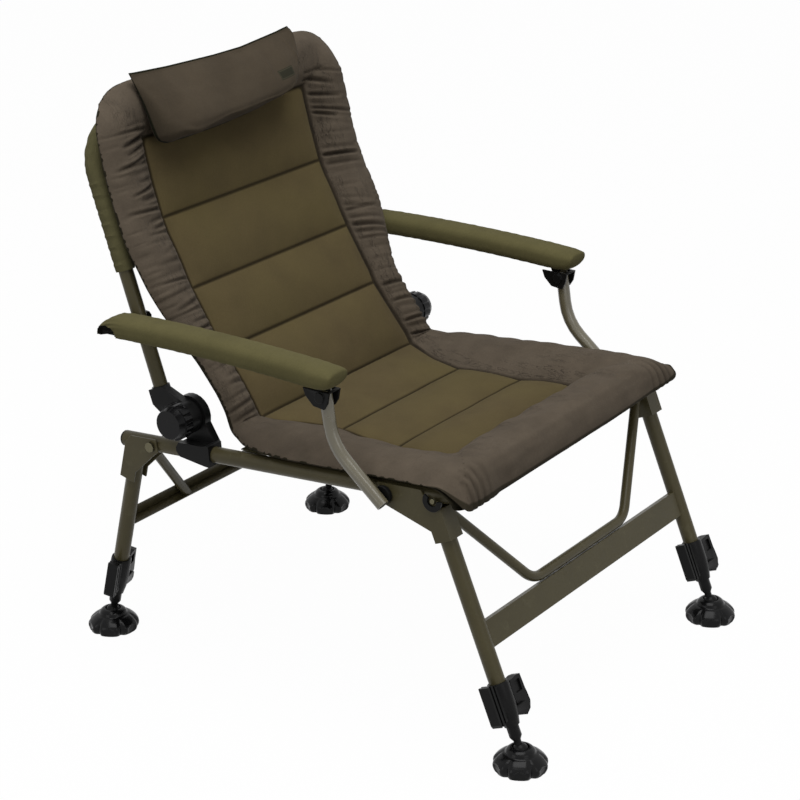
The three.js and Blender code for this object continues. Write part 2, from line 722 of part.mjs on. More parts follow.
function camLever(top) {
  const pivot_z = -top - lever_pivot_drop;
  const near = collar_radius + running_gap * 2;
  const shape = outline([
    [-top - lever_top_drop * 1.4, near + seat_gap * 6], [-top - lever_top_drop, lever_reach * 0.78],
    [-top - lever_top_drop * 1.3, lever_reach * 0.97], [-top - lever_pivot_drop * 0.55, lever_reach],
    [-top - lever_pivot_drop * 0.68, lever_reach * 1.03],
    [pivot_z + lever_cam_radius * 0.2, lever_pivot_x + lever_cam_radius * 1.25],
    [pivot_z - lever_cam_radius * 0.55, lever_pivot_x + lever_cam_radius * 0.85],
    [pivot_z - lever_cam_radius, lever_pivot_x],
    [pivot_z - lever_cam_radius * 0.7, lever_pivot_x - lever_cam_radius * 0.7],
    [pivot_z, lever_pivot_x - lever_cam_radius],
    [pivot_z + lever_cam_radius * 1.3, near], [-top - lever_pivot_drop * 0.2, near],
  ]);
  const hollow = outline([
    [-top - lever_top_drop * 2.4, near + lever_cam_radius * 0.55],
    [-top - lever_top_drop * 2.4, lever_reach * 0.86],
    [-top - lever_pivot_drop * 0.55, lever_reach * 0.86],
    [-top - lever_pivot_drop * 0.55, near + lever_cam_radius * 0.55],
  ]);
  const half = lever_thickness / 2;
  return plateY(shape, -half, half, 1)
    .subtract(plateY(hollow, -half - overrun, -half + half * 0.4, 1))
    .subtract(rodY(lever_pin_diameter / 2 + running_gap, -lever_thickness, lever_thickness,
      lever_pivot_x, pivot_z, bolt_sides));
}

const leg_ends = [[frontLegs, 'front', front_leg_length], [rearLegs, 'rear', rear_leg_length]];
for (const [group, kind, top] of leg_ends) {
  both((side) => {
    const place = side < 0 ? 'left' : 'right';
    const turn = kind === 'rear' && side < 0 ? rear_left_collar_turn : 0;
    for (const [name, body] of [['collar', lockCollar(top)], ['lever', camLever(top)]]) {
      const piece = addPiece(group, `${kind}_${name}_${place}`, black_plastic, body);
      piece.position.x = side * half_track;
      piece.rotation.z = turn;
    }
  });
}

// Inner legs with their ball ends, sliding in the legs
const ball_radius = ball_diameter / 2;
for (const [group, kind, reach, top, lean] of [
  [frontLegs, 'front', front_reach, front_leg_length, front_lean],
  [rearLegs, 'rear', rear_reach, rear_leg_length, rear_lean]]) {
  const ball_z = -(reach - ball_height / Math.cos(lean));
  const shoulder = ball_z + ball_radius + neck_length;
  const start = -(top + collar_overlap) + inner_leg_overlap;
  const ball = solid(moved(new THREE.SphereGeometry(ball_radius, ball_sides, ball_rings), 0, 0, ball_z));
  const stem = turned([
    [0, ball_z], [neck_diameter / 2, ball_z], [neck_diameter / 2, shoulder - neck_length * 0.6],
    [inner_leg_diameter / 2, shoulder], [inner_leg_diameter / 2, start], [0, start],
  ], small_tube_sides, 0, 0);
  both((side) => {
    const place = side < 0 ? 'left' : 'right';
    const inner = addPiece(group, `${kind}_inner_leg_${place}`, black_plastic, ball.add(stem));
    inner.position.x = side * half_track;
  });
}

// Swivel foot: a lobed dome with a groove, arched recesses in its lobes and a socket for the ball
function footRadius(angle, z_share, radius) {
  const phase = ((angle * foot_lobes) / (2 * Math.PI)) % 1;
  const fromNotch = Math.min(phase, 1 - phase);
  const notch = Math.max(0, 1 - fromNotch / foot_notch_share);
  const arch = Math.max(0, 1 - Math.abs(phase - 0.5) / foot_arch_share);
  const arched = z_share < arch * foot_arch_height_share ? 1 : 0;
  const fade = Math.max(0, 1 - z_share / foot_notch_height_share);
  return radius - (foot_notch_depth * notch * fade + foot_arch_depth * arched);
}
function swivelFoot() {
  const rim = foot_diameter / 2;
  const ring_shares = [
    [0, 0.95], [0.22, 1], [0.32, 0.98], [0.52, 0.84], [0.72, 0.63],
    [0.74, 0.54], [0.87, 0.5], [1, 0.38],
  ];
  const rings = ring_shares.map(([up, out]) => {
    const ring = [];
    for (let i = 0; i < foot_sides; i += 1) {
      const angle = (2 * Math.PI * i) / foot_sides;
      const radius = footRadius(angle, up, rim * out);
      ring.push(vec(radius * Math.cos(angle), radius * Math.sin(angle), foot_height * up));
    }
    return ring;
  });
  const side_share = Math.cos(Math.PI / ball_sides);
  const socket = ball_radius / (side_share * Math.cos(Math.PI / (2 * ball_rings))) + running_gap;
  const mouth = Math.sqrt(ball_radius ** 2 - (foot_height - ball_height) ** 2) / side_share + running_gap;
  return loft(rings)
    .subtract(solid(moved(new THREE.SphereGeometry(socket, ball_sides, ball_rings), 0, 0, ball_height)))
    .subtract(rodZ(mouth, ball_height, foot_height + overrun, 0, 0, ball_sides));
}
const foot_body = swivelFoot();
for (const [kind, y] of [['front', front_foot_y], ['rear', rear_foot_y]]) {
  both((side) => {
    const place = side < 0 ? 'left' : 'right';
    addPiece(stand, `${kind}_foot_${place}`, gloss_plastic, foot_body)
      .position.set(side * half_track, y, 0);
  });
}

// Recliner shoe: a clamp moulded round the rail with a neck up to a toothed disc
const disc_outer_x = recliner_disc_inner_x + recliner_disc_width;
const disc_radius = recliner_disc_diameter / 2;
const recliner_bore = recliner_bolt_diameter / 2 + running_gap;
const shoe_top = rail_radius + shoe_wall + seat_gap;
const shoe_shape = outline([
  [shoe_rear_y, rail_radius * 0.1], [shoe_rear_y - shoe_wall * 2, -rail_radius * 0.55],
  [shoe_front_y + shoe_lip * 4, -shoe_top], [shoe_front_y, -shoe_top - shoe_lip / 2],
  [shoe_front_y - shoe_lip, -shoe_top], [shoe_front_y - shoe_lip, shoe_top + shoe_lip / 2],
  [shoe_front_y + shoe_lip, shoe_top + shoe_lip], [shoe_front_y + shoe_lip * 4, shoe_top],
  [shoe_rear_y - shoe_wall * 2, shoe_top], [shoe_rear_y, rail_radius * 0.6],
]);
const neck_shape = outline([
  [shoe_front_y, shoe_top * 0.6], [shoe_front_y + shoe_lip, shoe_top + shoe_lip],
  [recliner_y - disc_radius * 0.95, recliner_z - disc_radius * 0.3],
  [recliner_y, recliner_z], [recliner_y + disc_radius * 0.75, recliner_z - disc_radius * 0.5],
  [recliner_y + disc_radius * 0.2, shoe_top * 0.6],
]);
const shoe_half_width = shoe_top;
function grooveRing(x0, x1, outer, inner) {
  return rodX(outer, x0, x1, recliner_y, recliner_z, tube_sides + 4)
    .subtract(rodX(inner, x0 - overrun, x1 + overrun, recliner_y, recliner_z, tube_sides));
}
const shoe = plateX(shoe_shape, -half_track - shoe_half_width, -half_track + shoe_half_width, 1)
  .add(plateX(neck_shape, -disc_outer_x, -recliner_disc_inner_x, 1))
  .add(rodX(disc_radius, -disc_outer_x, -recliner_disc_inner_x, recliner_y, recliner_z, tube_sides + 8))
  .subtract(grooveRing(-recliner_disc_inner_x - disc_recess, -recliner_disc_inner_x + overrun,
    disc_radius - disc_rim, disc_radius * 0.45))
  .subtract(rodY(rail_radius + seat_gap, shoe_front_y - shoe_lip * 4, shoe_rear_y + overrun,
    -half_track, 0, tube_sides))
  .subtract(rodX(recliner_bore, -half_track * 1.2, -half_track * 0.8, recliner_y, recliner_z, bolt_sides));
addPair(seat, 'recliner_shoe', black_plastic, shoe);

// Knob and clamp bolt through the recliner
const knob_radius = knob_diameter / 2;
const knob_inner_x = recliner_drum_outer_x + running_gap;
let knob = rodX(knob_radius, -knob_inner_x - knob_grip_width, -knob_inner_x,
  recliner_y, recliner_z, knob_scallops * 2);
for (let i = 0; i < knob_scallops; i += 1) {
  const angle = (2 * Math.PI * i) / knob_scallops;
  const out = knob_radius + knob_scallop_radius * 0.55;
  knob = knob.subtract(rodX(knob_scallop_radius, -knob_outer_x, -knob_inner_x + overrun,
    recliner_y + out * Math.cos(angle), recliner_z + out * Math.sin(angle), bolt_sides - 2));
}
const face = new THREE.CylinderGeometry(knob_radius * 0.93, knob_radius * 0.8,
  knob_outer_x - knob_inner_x - knob_grip_width + seat_gap, knob_scallops * 2);
face.rotateZ(-Math.PI / 2);
face.translate(-(knob_outer_x + knob_inner_x + knob_grip_width - seat_gap) / 2, recliner_y, recliner_z);
const knob_face = solid(face);
knob = knob.add(knob_face)
  .add(rodX(recliner_bolt_diameter / 2, -knob_inner_x - overrun / 2, -recliner_disc_inner_x + overrun,
    recliner_y, recliner_z, bolt_sides));
addPair(seat, 'recliner_knob', black_plastic, knob);

// The back, hung on the recliner axis and leaning with its tubes
const back = new THREE.Group();
back.position.set(0, recliner_y, recliner_z);
back.rotation.x = rail_pitch - back_lean;
seat.add(back);

// Recliner arm: drum, arm and tube socket in one moulding
const arm_inner_x = disc_outer_x + running_gap;
const socket_x = -back_half_width;
const drum_radius = recliner_drum_diameter / 2;
const arm_shape = outline([
  [-drum_radius * 0.75, drum_radius * 0.6], [back_tube_offset - socket_radius, socket_end],
  [back_tube_offset + socket_radius, socket_end - shoe_lip],
  [back_tube_offset + socket_radius, socket_start],
  [drum_radius * 0.95, -drum_radius * 0.3], [0, -drum_radius * 0.4],
]);
const socket = rodZ(socket_radius, socket_start, socket_end, socket_x, back_tube_offset, tube_sides);
const back_tube_radius = back_tube_diameter / 2;
const drumAt = (x0, x1, radius, sides) => rodX(radius, x0, x1, 0, 0, sides);
const recliner_arm = drumAt(-recliner_drum_outer_x, -arm_inner_x, drum_radius, tube_sides + 8)
  .add(plateX(arm_shape, -arm_inner_x - socket_plate, -arm_inner_x, 1))
  .add(socket)
  .subtract(drumAt(-disc_outer_x - running_gap, -recliner_disc_inner_x + overrun * 4,
    disc_radius + running_gap, tube_sides + 8))
  .subtract(rodZ(back_tube_radius + seat_gap, back_tube_start - seat_gap, socket_end + overrun * 3,
    socket_x, back_tube_offset, tube_sides))
  .subtract(drumAt(-half_track * 1.2, -half_track * 0.8, recliner_bore, bolt_sides));
addPair(back, 'recliner_arm', black_plastic, recliner_arm);

// Back frame tube, bent to a hoop, with the armrest pivot holes
const back_path = new BentPath([
  vec(-back_half_width, back_tube_offset, back_tube_start),
  vec(-back_half_width, back_tube_offset, back_top),
  vec(back_half_width, back_tube_offset, back_top), vec(back_half_width, back_tube_offset, back_tube_start),
], back_corner_radius, back_bend_steps);
const arm_x = back_half_width + sleeve_half_width + arm_side_gap + arm_half_width;
addPiece(back, 'back_frame', olive_paint, bentTube(back_path, back_tube_diameter, back_tube_wall)
  .subtract(rodX(bolt_hole, -arm_x, arm_x, back_tube_offset, arm_pivot_up, bolt_sides)));

// Cloth sleeve on the hoop with the sheet stretched across its front
const sleeve_path = new BentPath([
  vec(-back_half_width, back_tube_offset, sleeve_start), vec(-back_half_width, back_tube_offset, back_top),
  vec(back_half_width, back_tube_offset, back_top), vec(back_half_width, back_tube_offset, sleeve_start),
], back_corner_radius, back_bend_steps);
const sleeve_bore = new BentPath([
  vec(-back_half_width, back_tube_offset, sleeve_start - overrun),
  vec(-back_half_width, back_tube_offset, back_top),
  vec(back_half_width, back_tube_offset, back_top),
  vec(back_half_width, back_tube_offset, sleeve_start - overrun),
], back_corner_radius, back_bend_steps);
const sheet_y = back_tube_offset - sleeve_half_depth + sheet_thickness * 0.2;
const sheet_corner = back_corner_radius * 0.3;
const sheet = new THREE.Shape();
sheet.moveTo(sleeve_start + sheet_thickness, -back_half_width);
sheet.lineTo(back_top - back_corner_radius, -back_half_width);
sheet.lineTo(back_top - sheet_corner, -back_half_width + sheet_corner);
sheet.lineTo(back_top, -back_half_width + back_corner_radius);
sheet.lineTo(back_top, back_half_width - back_corner_radius);
sheet.lineTo(back_top - sheet_corner, back_half_width - sheet_corner);
sheet.lineTo(back_top - back_corner_radius, back_half_width);
sheet.lineTo(sleeve_start + sheet_thickness, back_half_width);
sheet.closePath();
const bore_radius = back_tube_radius + sleeve_bore_gap;
addPiece(back, 'back_sling', sling_cloth, pipe(sleeve_path, sleeve_half_depth, sleeve_half_width, tube_sides)
  .add(plateY(sheet, sheet_y, sheet_y + sheet_thickness, 1))
  .subtract(pipe(sleeve_bore, bore_radius, bore_radius, bore_sides)));

// Armrest pivot bolts through the hoop, with a black washer between hoop and armrest
const core_flat = (core_diameter / 2 - core_wall) * Math.cos(Math.PI / bore_sides);
const arm_bolt_end = arm_x + Math.sqrt(core_flat ** 2 - bolt_radius ** 2) - running_gap;
const washer_inner = back_half_width + back_tube_radius + seat_gap;
const washer_outer = arm_x - arm_half_width - seat_gap;
const arm_bolt = rodX(bolt_radius, -arm_bolt_end, -back_half_width + back_tube_radius + bolt_head_height / 2,
  back_tube_offset, arm_pivot_up, bolt_sides)
  .add(rodX(washer_radius, -washer_outer, -washer_inner, back_tube_offset, arm_pivot_up, tube_sides))
  .add(rodX(bolt_head_diameter / 2, -back_half_width + back_tube_radius + seat_gap,
    -back_half_width + back_tube_radius + seat_gap + bolt_head_height,
    back_tube_offset, arm_pivot_up, bolt_sides));
addPair(back, 'armrest_bolt', black_plastic, arm_bolt);

// Where the linkage pivots stand above the ground: recliner, hoop, armrest front and rail
const recliner_point = seatPoint(recliner_y, recliner_z);
const crank_y = arm_pivot_up * Math.sin(back_lean) + back_tube_offset * Math.cos(back_lean);
const crank_z = arm_pivot_up * Math.cos(back_lean) - back_tube_offset * Math.sin(back_lean);
const rail_pivot = seatPoint(front_pivot_y, front_pivot_z);
const hoop_pivot = { y: recliner_point.y + crank_y, z: recliner_point.z + crank_z };
const front_pin = { y: rail_pivot.y + crank_y, z: rail_pivot.z + crank_z };

// Armrest: a padded cloth sleeve on a tube core, standing level over the rail
const armrest = new THREE.Group();
armrest.position.set(0, hoop_pivot.y, hoop_pivot.z);
stand.add(armrest);
const arm_front_reach = hoop_pivot.y - front_pin.y + arm_nose_overhang;
const arch = (share) => arm_arch * (1 - (2 * share - 1) ** 2);
const station_shares = [0, 0.16, 0.34, 0.52, 0.7, 0.86];
const span = arm_front_reach + arm_rear_reach;
const archAt = (share) => arch(share) - arch(arm_rear_reach / span);
const pad_square_share = 0.7;
function padRing(y, rise, half_w, half_h, count) {
  const ring = [];
  for (let i = 0; i < count; i += 1) {
    const angle = (2 * Math.PI * (i + 0.5)) / count;
    const c = Math.cos(angle);
    const s = Math.sin(angle);
    const across = half_w * Math.sign(c) * Math.abs(c) ** pad_square_share;
    const up = half_h * Math.sign(s) * Math.abs(s) ** pad_square_share;
    ring.push(vec(-arm_x + across, y, rise + up));
  }
  return ring;
}

// A closed skin through rings of equal count, ended by flat fans
function loft(rings) {
  const count = rings[0].length;
  const points = rings.flat();
  const first = points.length;
  points.push(rings[0].reduce((sum, p) => sum.add(p), vec(0, 0, 0)).divideScalar(count));
  points.push(rings[rings.length - 1].reduce((sum, p) => sum.add(p), vec(0, 0, 0)).divideScalar(count));
  const faces = [];
  for (let r = 0; r < rings.length - 1; r += 1) {
    for (let i = 0; i < count; i += 1) {
      const a = r * count + i;
      const b = r * count + ((i + 1) % count);
      faces.push(a, a + count, b, b, a + count, b + count);
    }
  }
  const last = (rings.length - 1) * count;
  for (let i = 0; i < count; i += 1) {
    const next = (i + 1) % count;
    faces.push(first, i, next, first + 1, last + next, last + i);
  }
  const geometry = new THREE.BufferGeometry();
  const numbers = new Float32Array(points.flatMap((p) => [p.x, p.y, p.z]));
  geometry.setAttribute('position', new THREE.BufferAttribute(numbers, 3));
  geometry.setIndex(faces);
  const body = solid(geometry);
  if (body.volume() > 0) return body;
  for (let i = 0; i < faces.length; i += 3) [faces[i + 1], faces[i + 2]] = [faces[i + 2], faces[i + 1]];
  geometry.setIndex(faces);
  return solid(geometry);
}

const pad_rings = station_shares.map((share) => {
  const gather_share = share ? 1 : 0.92;
  return padRing(arm_rear_reach - share * span, archAt(share),
    arm_half_width * gather_share, arm_half_height * gather_share, tube_sides);
});
for (const [nose_share, size_share] of [[0.3, 0.96], [0.65, 0.78], [1, 0.4]]) {
  const share = 0.92 + 0.08 * nose_share;
  const half_h = arm_half_height * size_share;
  pad_rings.push(padRing(arm_rear_reach - share * span, archAt(share) + (arm_half_height - half_h) * 0.9,
    arm_half_width * (0.45 + 0.55 * size_share), half_h, tube_sides));
}
const core_path = new BentPath([vec(0, 0, 0), vec(0, 1, 0)], 0, 1);
core_path.stops = station_shares.map((share) => {
  const y = arm_rear_reach - share * span;
  const end = share ? y : arm_rear_reach + core_rear_stub;
  return vec(-arm_x, end, archAt(share));
});
core_path.stops[core_path.stops.length - 1].y = -arm_front_reach + core_front_setback;
const core_bore = new BentPath([vec(0, 0, 0), vec(0, 1, 0)], 0, 1);
core_bore.stops = core_path.stops.map((stop) => stop.clone());
core_bore.stops[0].y += overrun;
core_bore.stops[core_bore.stops.length - 1].y -= seat_gap;
const core_radius = core_diameter / 2;
const pad_bore = pipe(core_bore, core_radius + seat_gap, core_radius + seat_gap, small_tube_sides);
const arm_hole = rodX(bolt_hole, -arm_x, -arm_x + arm_half_width * 2, 0, 0, bolt_sides);
const core_tube = bentTube(core_path, core_diameter, core_wall, small_tube_sides, small_bore_sides);
addPair(armrest, 'armrest_core', black_plastic, core_tube
  .subtract(rodX(bolt_hole, -arm_x, -arm_x + core_diameter, 0, 0, bolt_sides)));
addPair(armrest, 'armrest_pad', arm_cloth, loft(pad_rings).subtract(pad_bore).subtract(arm_hole));

// Black clevis under the front of the armrest, with the pin of the link
const pin_y = front_pin.y - hoop_pivot.y;
const pin_z = front_pin.z - hoop_pivot.z;
const pad_under = archAt((arm_rear_reach - pin_y) / span) - arm_half_height;
const clevis_top = pad_under - seat_gap;
const clevis_shape = new THREE.Shape();
clevis_shape.moveTo(pin_y + clevis_length / 2, clevis_top);
clevis_shape.lineTo(pin_y + clevis_length * 0.42, clevis_top - clevis_depth * 0.45);
clevis_shape.lineTo(pin_y + clevis_length * 0.2, clevis_top - clevis_depth * 0.92);
clevis_shape.lineTo(pin_y - clevis_length * 0.12, clevis_top - clevis_depth);
clevis_shape.lineTo(pin_y - clevis_length * 0.36, clevis_top - clevis_depth * 0.62);
clevis_shape.lineTo(pin_y - clevis_length / 2, clevis_top);
clevis_shape.closePath();
const link_radius = link_tube_diameter / 2;
const slot_half = link_radius + clevis_slot_gap;
const clevis_half = slot_half + clevis_wall;
const clevis = plateX(clevis_shape, -link_x - clevis_half, -link_x + clevis_half, 1)
  .subtract(block(-link_x - slot_half, -link_x + slot_half, pin_y - clevis_length, pin_y + clevis_length,
    clevis_top - clevis_depth * 2, clevis_top - clevis_roof))
  .subtract(block(-link_x - slot_half, -link_x + slot_half,
    pin_y - link_radius - clevis_roof, pin_y + clevis_length,
    clevis_top - clevis_depth, clevis_top + overrun));
const clevis_head_half = clevis_half + bolt_head_height / 2;
const clevis_pin = rodX(bolt_radius, -link_x - clevis_half, -link_x + clevis_half,
  pin_y, pin_z, bolt_sides);
const pin_heads = [[-clevis_head_half, -clevis_half], [clevis_half, clevis_head_half]].map(
  ([from, to]) => rodX(bolt_head_diameter / 2, -link_x + from, -link_x + to, pin_y, pin_z, bolt_sides));
addPair(armrest, 'armrest_clevis', black_plastic,
  clevis.add(clevis_pin).add(pin_heads[0]).add(pin_heads[1]));

// Arm link: a bent tube from the clevis down to the front pivot bolt, capped at the foot
const link = new THREE.Group();
link.position.set(0, rail_pivot.y, rail_pivot.z);
stand.add(link);
const knee = vec(-link_x, crank_y - link_knee_back, crank_z - link_knee_drop);
const link_top = vec(-link_x, crank_y + link_knee_back * link_top_reach / link_knee_drop,
  crank_z + link_top_reach);
const foot_line = knee.clone().setX(0).normalize().multiplyScalar(-link_foot_reach);
const link_foot = vec(-link_x, foot_line.y, foot_line.z);
const link_path = new BentPath([link_top, knee, link_foot], link_knee_radius, bend_steps);
const link_holes = rodX(bolt_hole, -link_x, -link_x + link_radius * 2, 0, 0, bolt_sides)
  .add(rodX(bolt_hole, -link_x - link_radius * 2, -link_x + link_radius * 2, crank_y, crank_z, bolt_sides));
const link_end = block(-link_x - link_radius * 2, -link_x + link_radius * 2,
  crank_y - link_radius * 2, crank_y + link_radius * 2, crank_z, crank_z + link_radius * 2)
  .subtract(rodX(link_radius, -link_x - link_radius * 3, -link_x + link_radius * 3,
    crank_y, crank_z, tube_sides));
const link_tube = bentTube(link_path, link_tube_diameter, link_tube_wall,
  small_tube_sides, small_bore_sides);
addPair(link, 'arm_link', olive_paint, link_tube.subtract(link_holes).subtract(link_end));

// Black spacer between the foot of the link and the leg bracket
const spacer_outer = link_x - link_radius - seat_gap;
const spacer_inner = plate_outer + running_gap;
const spacer_body = rodX(spacer_radius, -spacer_outer, -spacer_inner, 0, 0, small_tube_sides);
addPair(link, 'link_spacer', black_plastic, spacer_body
  .subtract(rodX(bolt_hole, -link_x, -spacer_inner + overrun, 0, 0, bolt_sides)));

// Quilted pads: rows run along the pad and columns across it; each row is a seam level, a half width
// and the crown of its channel
const column_shares = [0, 0.45, 0.85, 1];
const border_shares = [0.12, 0.45, 0.8, 0.95, 1];

function borderRise(w) {
  if (w <= 0) return 0;
  const peak = 0.45;
  if (w < peak) return 1 - (1 - w / peak) ** 2;
  return Math.sqrt(Math.max(0, 1 - ((w - peak) / (1 - peak)) ** 3));
}

// Seat pad rows, from behind the front lip back to the crease
const seat_length = seat_pad_rear - seat_pad_front;
const seat_row_shares = [
  [0.051, 0.985, 0.78], [0.09, 0.993, 0.6], [0.15, 1, 0.3], [0.241, 1, 0],
  [0.3, 1, 0], [0.36, 1, 0], [0.42, 1, 0], [0.471, 1, 0], [0.53, 1, 0], [0.595, 1, 0], [0.66, 1, 0],
  [0.722, 1, 0], [0.79, 0.99, 0], [0.86, 0.965, 0], [0.93, 0.93, 0], [1, 0.89, 0], [1.045, 0.88, 0],
];
const seam_level_shares = [
  0.3, 0.3, 0.31, 0.32, 0.33, 0.34, 0.35, 0.36, 0.4, 0.47, 0.55, 0.62, 0.72, 0.82, 0.92, 1, 1.02,
];
const seat_channel_shares = [0, 0, 0, 0, 0.8, 1, 0.8, 0, 0.8, 1, 0.8, 0, 0.8, 1, 0.8, 0, 0];
const seat_rows = seat_row_shares.map(([share, width_share, end], i) => {
  const level = seam_level_max * seam_level_shares[i];
  const base = level - slingHeight(0) - seat_gap;
  return {
    y: seat_pad_front + seat_length * share,
    z: level,
    half: seat_half_width * width_share,
    seam: seat_seam_half,
    crown: seat_crown * seat_channel_shares[i],
    depth: base,
    end,
  };
});

function columnsAcross(seam, half) {
  const xs = [];
  for (const share of column_shares) xs.push(seam * share);
  for (const share of border_shares) xs.push(seam + (half - seam) * share);
  return [...xs.slice(1).map((x) => -x).reverse(), ...xs];
}

// The lip hangs down in front of the seat frame; each row is a place along it, a half width, and
// how much of its height is kept above and below the middle
const lip_row_shares = [[0, 0.925, 0], [0.14, 0.948, 0.66], [0.5, 0.968, 0.97], [1, 0.985, 1]];
function lipRows() {
  const high = pad_border_top * 0.96;
  const middle = (high - front_lip_drop) / 2;
  return lip_row_shares.map(([share, width_share, height_share]) => {
    const half = seat_half_width * width_share;
    const y = seat_pad_front + front_lip_depth * share;
    const top = [];
    const low = [];
    for (const x of columnsAcross(seat_seam_half, half)) {
      const side = Math.max(0, (Math.abs(x) / half - 0.9) / 0.1);
      const reach = (high - middle) * height_share * Math.sqrt(Math.max(0, 1 - side ** 2));
      top.push(vec(x, y, middle + reach));
      low.push(vec(x, y, middle - reach));
    }
    return { top, low };
  });
}

// The seat pad is cut back under its sides where it lies on the frame tubes
function seatPad() {
  const rings = seat_rows.map((row) => {
    const line = columnsAcross(row.seam, row.half);
    const top = [];
    const low = [];
    for (const x of line) {
      const side = Math.max(0, (Math.abs(x) - row.seam) / (row.half - row.seam));
      const w = Math.max(side, row.end);
      const panel = row.crown * (1 - Math.min(1, Math.abs(x) / row.seam) ** 6);
      const peak = pad_border_top;
      const round = borderRise(w);
      const edge = w > 0.8 ? Math.sqrt(Math.max(0, 1 - ((w - 0.8) / 0.2) ** 2)) : 1;
      const high = w > 0 ? row.z + (peak - row.z) * round : row.z + panel;
      const outer_share = (peak - pad_edge_height) / (peak - row.z);
      const z_top = w > 0.45 ? pad_edge_height + (high - row.z) * outer_share : high;
      const under = Math.max(slingHeight(Math.min(Math.abs(x), sling_half_width)) + seat_gap,
        w > 0.3 ? pad_border_base : -seam_level_max);
      const rearRise = row.z > seam_level_max * 0.6 ? (row.z - seam_level_max * 0.6) * 0.3 : 0;
      const z_low = pad_edge_height - (pad_edge_height - under - rearRise) * edge;
      const finish = w >= 1 ? pad_edge_height : null;
      top.push(vec(x, row.y, finish === null ? Math.max(z_top, z_low + seat_gap) : finish));
      low.push(vec(x, row.y, finish === null ? z_low : finish));
    }
    return { top, low };
  });
  return closedGrid([...lipRows(), ...rings], true, false);
}

// Skin over a grid of upper and lower points whose side columns meet in one edge
function closedGrid(rows, startsClosed, endsClosed) {
  const faces = [];
  const points = [];
  const index = new Map();
  const add = (p) => {
    const key = `${p.x.toFixed(4)},${p.y.toFixed(4)},${p.z.toFixed(4)}`;
    if (!index.has(key)) {
      index.set(key, points.length / 3);
      points.push(p.x, p.y, p.z);
    }
    return index.get(key);
  };
  const tri = (a, b, c) => {
    if (a !== b && b !== c && a !== c) faces.push(a, b, c);
  };
  const ids = rows.map(({ top, low }) => ({ top: top.map(add), low: low.map(add) }));
  for (let r = 0; r < ids.length - 1; r += 1) {
    for (let c = 0; c < ids[r].top.length - 1; c += 1) {
      const [a, b] = [ids[r].top[c], ids[r].top[c + 1]];
      const [d, e] = [ids[r + 1].top[c], ids[r + 1].top[c + 1]];
      tri(a, b, e);
      tri(a, e, d);
      const [f, g] = [ids[r].low[c], ids[r].low[c + 1]];
      const [h, i] = [ids[r + 1].low[c], ids[r + 1].low[c + 1]];
      tri(f, i, g);
      tri(f, h, i);
    }
  }
  for (const [r, closed, turn] of [[0, startsClosed, true], [ids.length - 1, endsClosed, false]]) {
    if (closed) continue;
    for (let c = 0; c < ids[r].top.length - 1; c += 1) {
      const quad = [ids[r].top[c], ids[r].top[c + 1], ids[r].low[c + 1], ids[r].low[c]];
      if (turn) {
        tri(quad[0], quad[2], quad[1]);
        tri(quad[0], quad[3], quad[2]);
      } else {
        tri(quad[0], quad[1], quad[2]);
        tri(quad[0], quad[2], quad[3]);
      }
    }
  }
  const geometry = new THREE.BufferGeometry();
  geometry.setAttribute('position', new THREE.BufferAttribute(new Float32Array(points), 3));
  geometry.setIndex(faces);
  const body = solid(geometry);
  if (body.volume() > 0) return body;
  for (let i = 0; i < faces.length; i += 3) [faces[i + 1], faces[i + 2]] = [faces[i + 2], faces[i + 1]];
  geometry.setIndex(faces);
  return solid(geometry);
}

// The seat and lumbar pads meet in a mitre at the crease
function mitreBlock(side) {
  const reach = seat_half_width * 2;
  const gap = pad_join_gap / 2;
  const box = new THREE.BoxGeometry(reach, reach, reach);
  box.translate(0, side * (reach / 2 - gap), 0);
  box.rotateX(mitre_lean);
  return box.translate(0, seat_pad_rear, seam_level_max);
}
addPiece(seat, 'seat_mattress', taupe_cloth, seatPad().subtract(solid(mitreBlock(1))));

// Back pad rows in the leaning frame of the back, from the join up to the top edge
const back_span = back_pad_top - back_pad_join;
const back_row_shares = [
  [0, 0.972, -0.15, 0, 0], [0.07, 0.985, 0.15, 0.8, 0], [0.17, 0.995, 0.45, 1, 0], [0.27, 1, 0.9, 0.8, 0],
  [0.342, 1, 1, 0, 0], [0.42, 1, 1, 0.75, 0], [0.52, 1, 0.98, 1, 0], [0.63, 1, 0.8, 0.9, 0],
  [0.727, 0.99, 0.55, 0.3, 0], [0.78, 0.975, 0.5, 0, 0.15], [0.865, 0.925, 0.5, 0, 0.5],
  [0.93, 0.835, 0.5, 0, 0.8], [0.975, 0.74, 0.5, 0, 0.95], [1, 0.66, 0.5, 0, 1],
];
const back_level_max = 13.6;
const back_rows = back_row_shares.map(([share, width_share, level_share, crown_share, end]) => ({
  up: back_pad_join + back_span * share,
  half: back_half_max * width_share,
  level: back_level_max * level_share,
  crown: back_crown * crown_share,
  end,
}));

